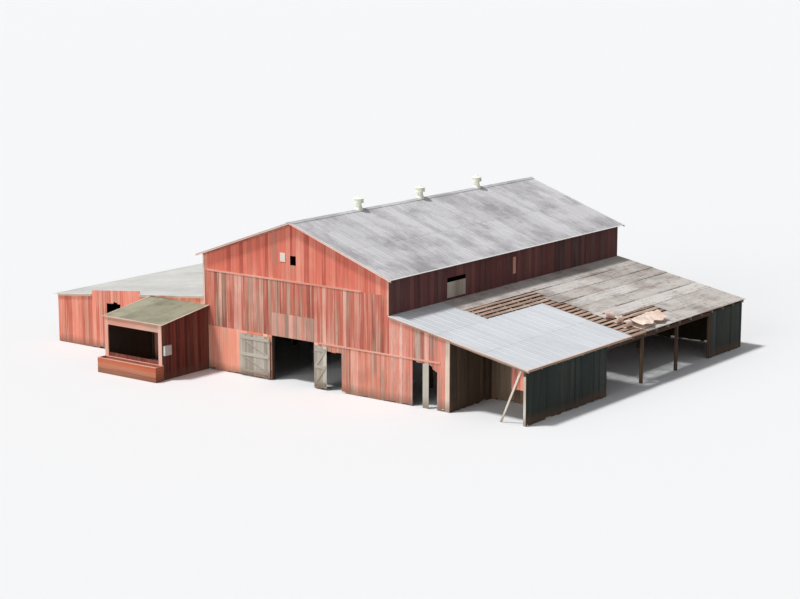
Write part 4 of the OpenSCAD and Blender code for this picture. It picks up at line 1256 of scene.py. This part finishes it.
# For each roll: its place from the node's corner and its radius
ROLLS = ((-1.25, -0.20, 0.15), (-0.62, -0.30, 0.15), (0.02, -0.55, 0.16))
torn_x, torn_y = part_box("curled_sheet")[0][:2]
for step_x, step_y, turned_by, length, luck in FOLDS:
    crumpled((torn_x + step_x, torn_y + step_y, 0.002), math.pi + turned_by, flat=0.62,
             radius=0.16, turn=3.28, tail=0.80, length=length, wrinkle=0.07, luck=luck)
for number, (step_x, step_y, radius) in enumerate(ROLLS):
    crumpled((torn_x + step_x, torn_y + step_y, -0.004), -0.2 + 0.15 * number, flat=0.12,
             radius=radius, turn=4.7, tail=0.0, length=0.62, wrinkle=0.035,
             luck=11.0 + 2.3 * number)
bent_piece = grained_piece("crumpled_sheets", **bent, finish="bent_metal")
skin = bent_piece.modifiers.new("Skin", "SOLIDIFY")
skin.thickness = 0.003
skin.offset = 1.0
place(bent_piece, "bent_sheet", "curled_sheet")

# %% [markdown]
# Some solids of the frame already have the real form: the round ventilators, the small box and the
# hinges. They keep their shape and only take a finish.

# %% Finishes for the solids that stay
def dress(name, finish):
    """Gives a node of the frame a finish."""
    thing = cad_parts[name]
    material = finishes[finish]
    if not thing.material_slots:
        thing.data.materials.append(material)
    for slot in thing.material_slots:
        slot.material = material
    print(name, "wears", finish)

dress("ridge_ventilators", "vent_metal")
dress("utility_box", "box_metal")
for name in ("door_pintles", "left_leaf_hinges", "right_leaf_hinges"):
    dress(name, "iron")

# %% [markdown]
# The photograph was taken from a hill, with a long view down over the roofs. The barn only fills
# its middle, so the lens is longer here and the angle stays the same. A high key from the front
# left lights the roofs, a very soft one from the front lights the gable, and the right walls are
# left in shade.

# %% Camera
CAMERA_PLACE = Vector((62.522, -80.561, 22.697))
CAMERA_AIM = Vector((-0.6026, 0.7982, -0.1951))
camera_data = bpy.data.cameras.new("camera")
camera_data.sensor_width = 36.0
camera_data.lens = 85.4
camera_data.clip_end = 3000.0
camera = in_scene("camera", camera_data)
camera.location = CAMERA_PLACE
camera.rotation_euler = CAMERA_AIM.to_track_quat("-Z", "Y").to_euler()
bpy.context.scene.camera = camera
print("camera", [round(value, 1) for value in CAMERA_PLACE], "lens", camera_data.lens, "mm")

# %% Lamps
def sun(name, way, strength, angle):
    """A soft lamp that shines in one direction."""
    lamp = bpy.data.lights.new(name, "SUN")
    lamp.energy = strength
    lamp.angle = math.radians(angle)
    in_scene(name, lamp).rotation_euler = Vector(way).to_track_quat("-Z", "Y").to_euler()
    print(name, "shines with", strength)

sun("key_light", way=(0.272, 0.324, -0.906), strength=2.6, angle=8)
sun("front_light", way=(0.10, 0.97, -0.20), strength=1.45, angle=40)

# %% White background and the room's own light
ROOM_LIGHT = 0.27


def seen_by_camera(bench):
    """One for rays that show the background: straight ones, reflections and what glass lets by."""
    rays = bench.add("ShaderNodeLightPath").outputs
    straight = bench.math("MAXIMUM", rays["Is Camera Ray"], rays["Is Glossy Ray"])
    return bench.math("MAXIMUM", straight, rays["Is Transmission Ray"])

world = bpy.data.worlds.new("studio")
bpy.context.scene.world = world
world.use_nodes = True
world.node_tree.nodes.clear()
bench = Bench(world.node_tree)
room = bench.add("ShaderNodeBackground", {0: (0.92, 0.95, 1.0, 1.0), 1: ROOM_LIGHT}).outputs[0]
white = bench.add("ShaderNodeBackground", {0: (1.0, 1.0, 1.0, 1.0), 1: 1.0}).outputs[0]
shown = bench.add("ShaderNodeMixShader", {0: seen_by_camera(bench), 1: room, 2: white}).outputs[0]
bench.add("ShaderNodeOutputWorld", {0: shown})
bpy.context.scene.view_settings.view_transform = "Standard"
print("the room lights with", ROOM_LIGHT)

# %% Floor
HALF = 1000.0
LEVEL = -0.002
CORNERS = ((-HALF, -HALF, LEVEL), (HALF, -HALF, LEVEL), (HALF, HALF, LEVEL), (-HALF, HALF, LEVEL))
floor_data = bpy.data.meshes.new("floor")
floor_data.from_pydata(CORNERS, [], [(0, 1, 2, 3)])
floor = in_scene("floor", floor_data)
bench, shader = start_finish("pale_floor")
pale = bench.colour(seen_by_camera(bench), (0.30, 0.30, 0.30, 1.0), (0.84, 0.84, 0.84, 1.0))
bench.put(shader, {"Base Color": pale, "Roughness": 0.9, "Specular IOR Level": 0.1})
floor_data.materials.append(finishes["pale_floor"])
print("floor", 2 * HALF, "m wide")
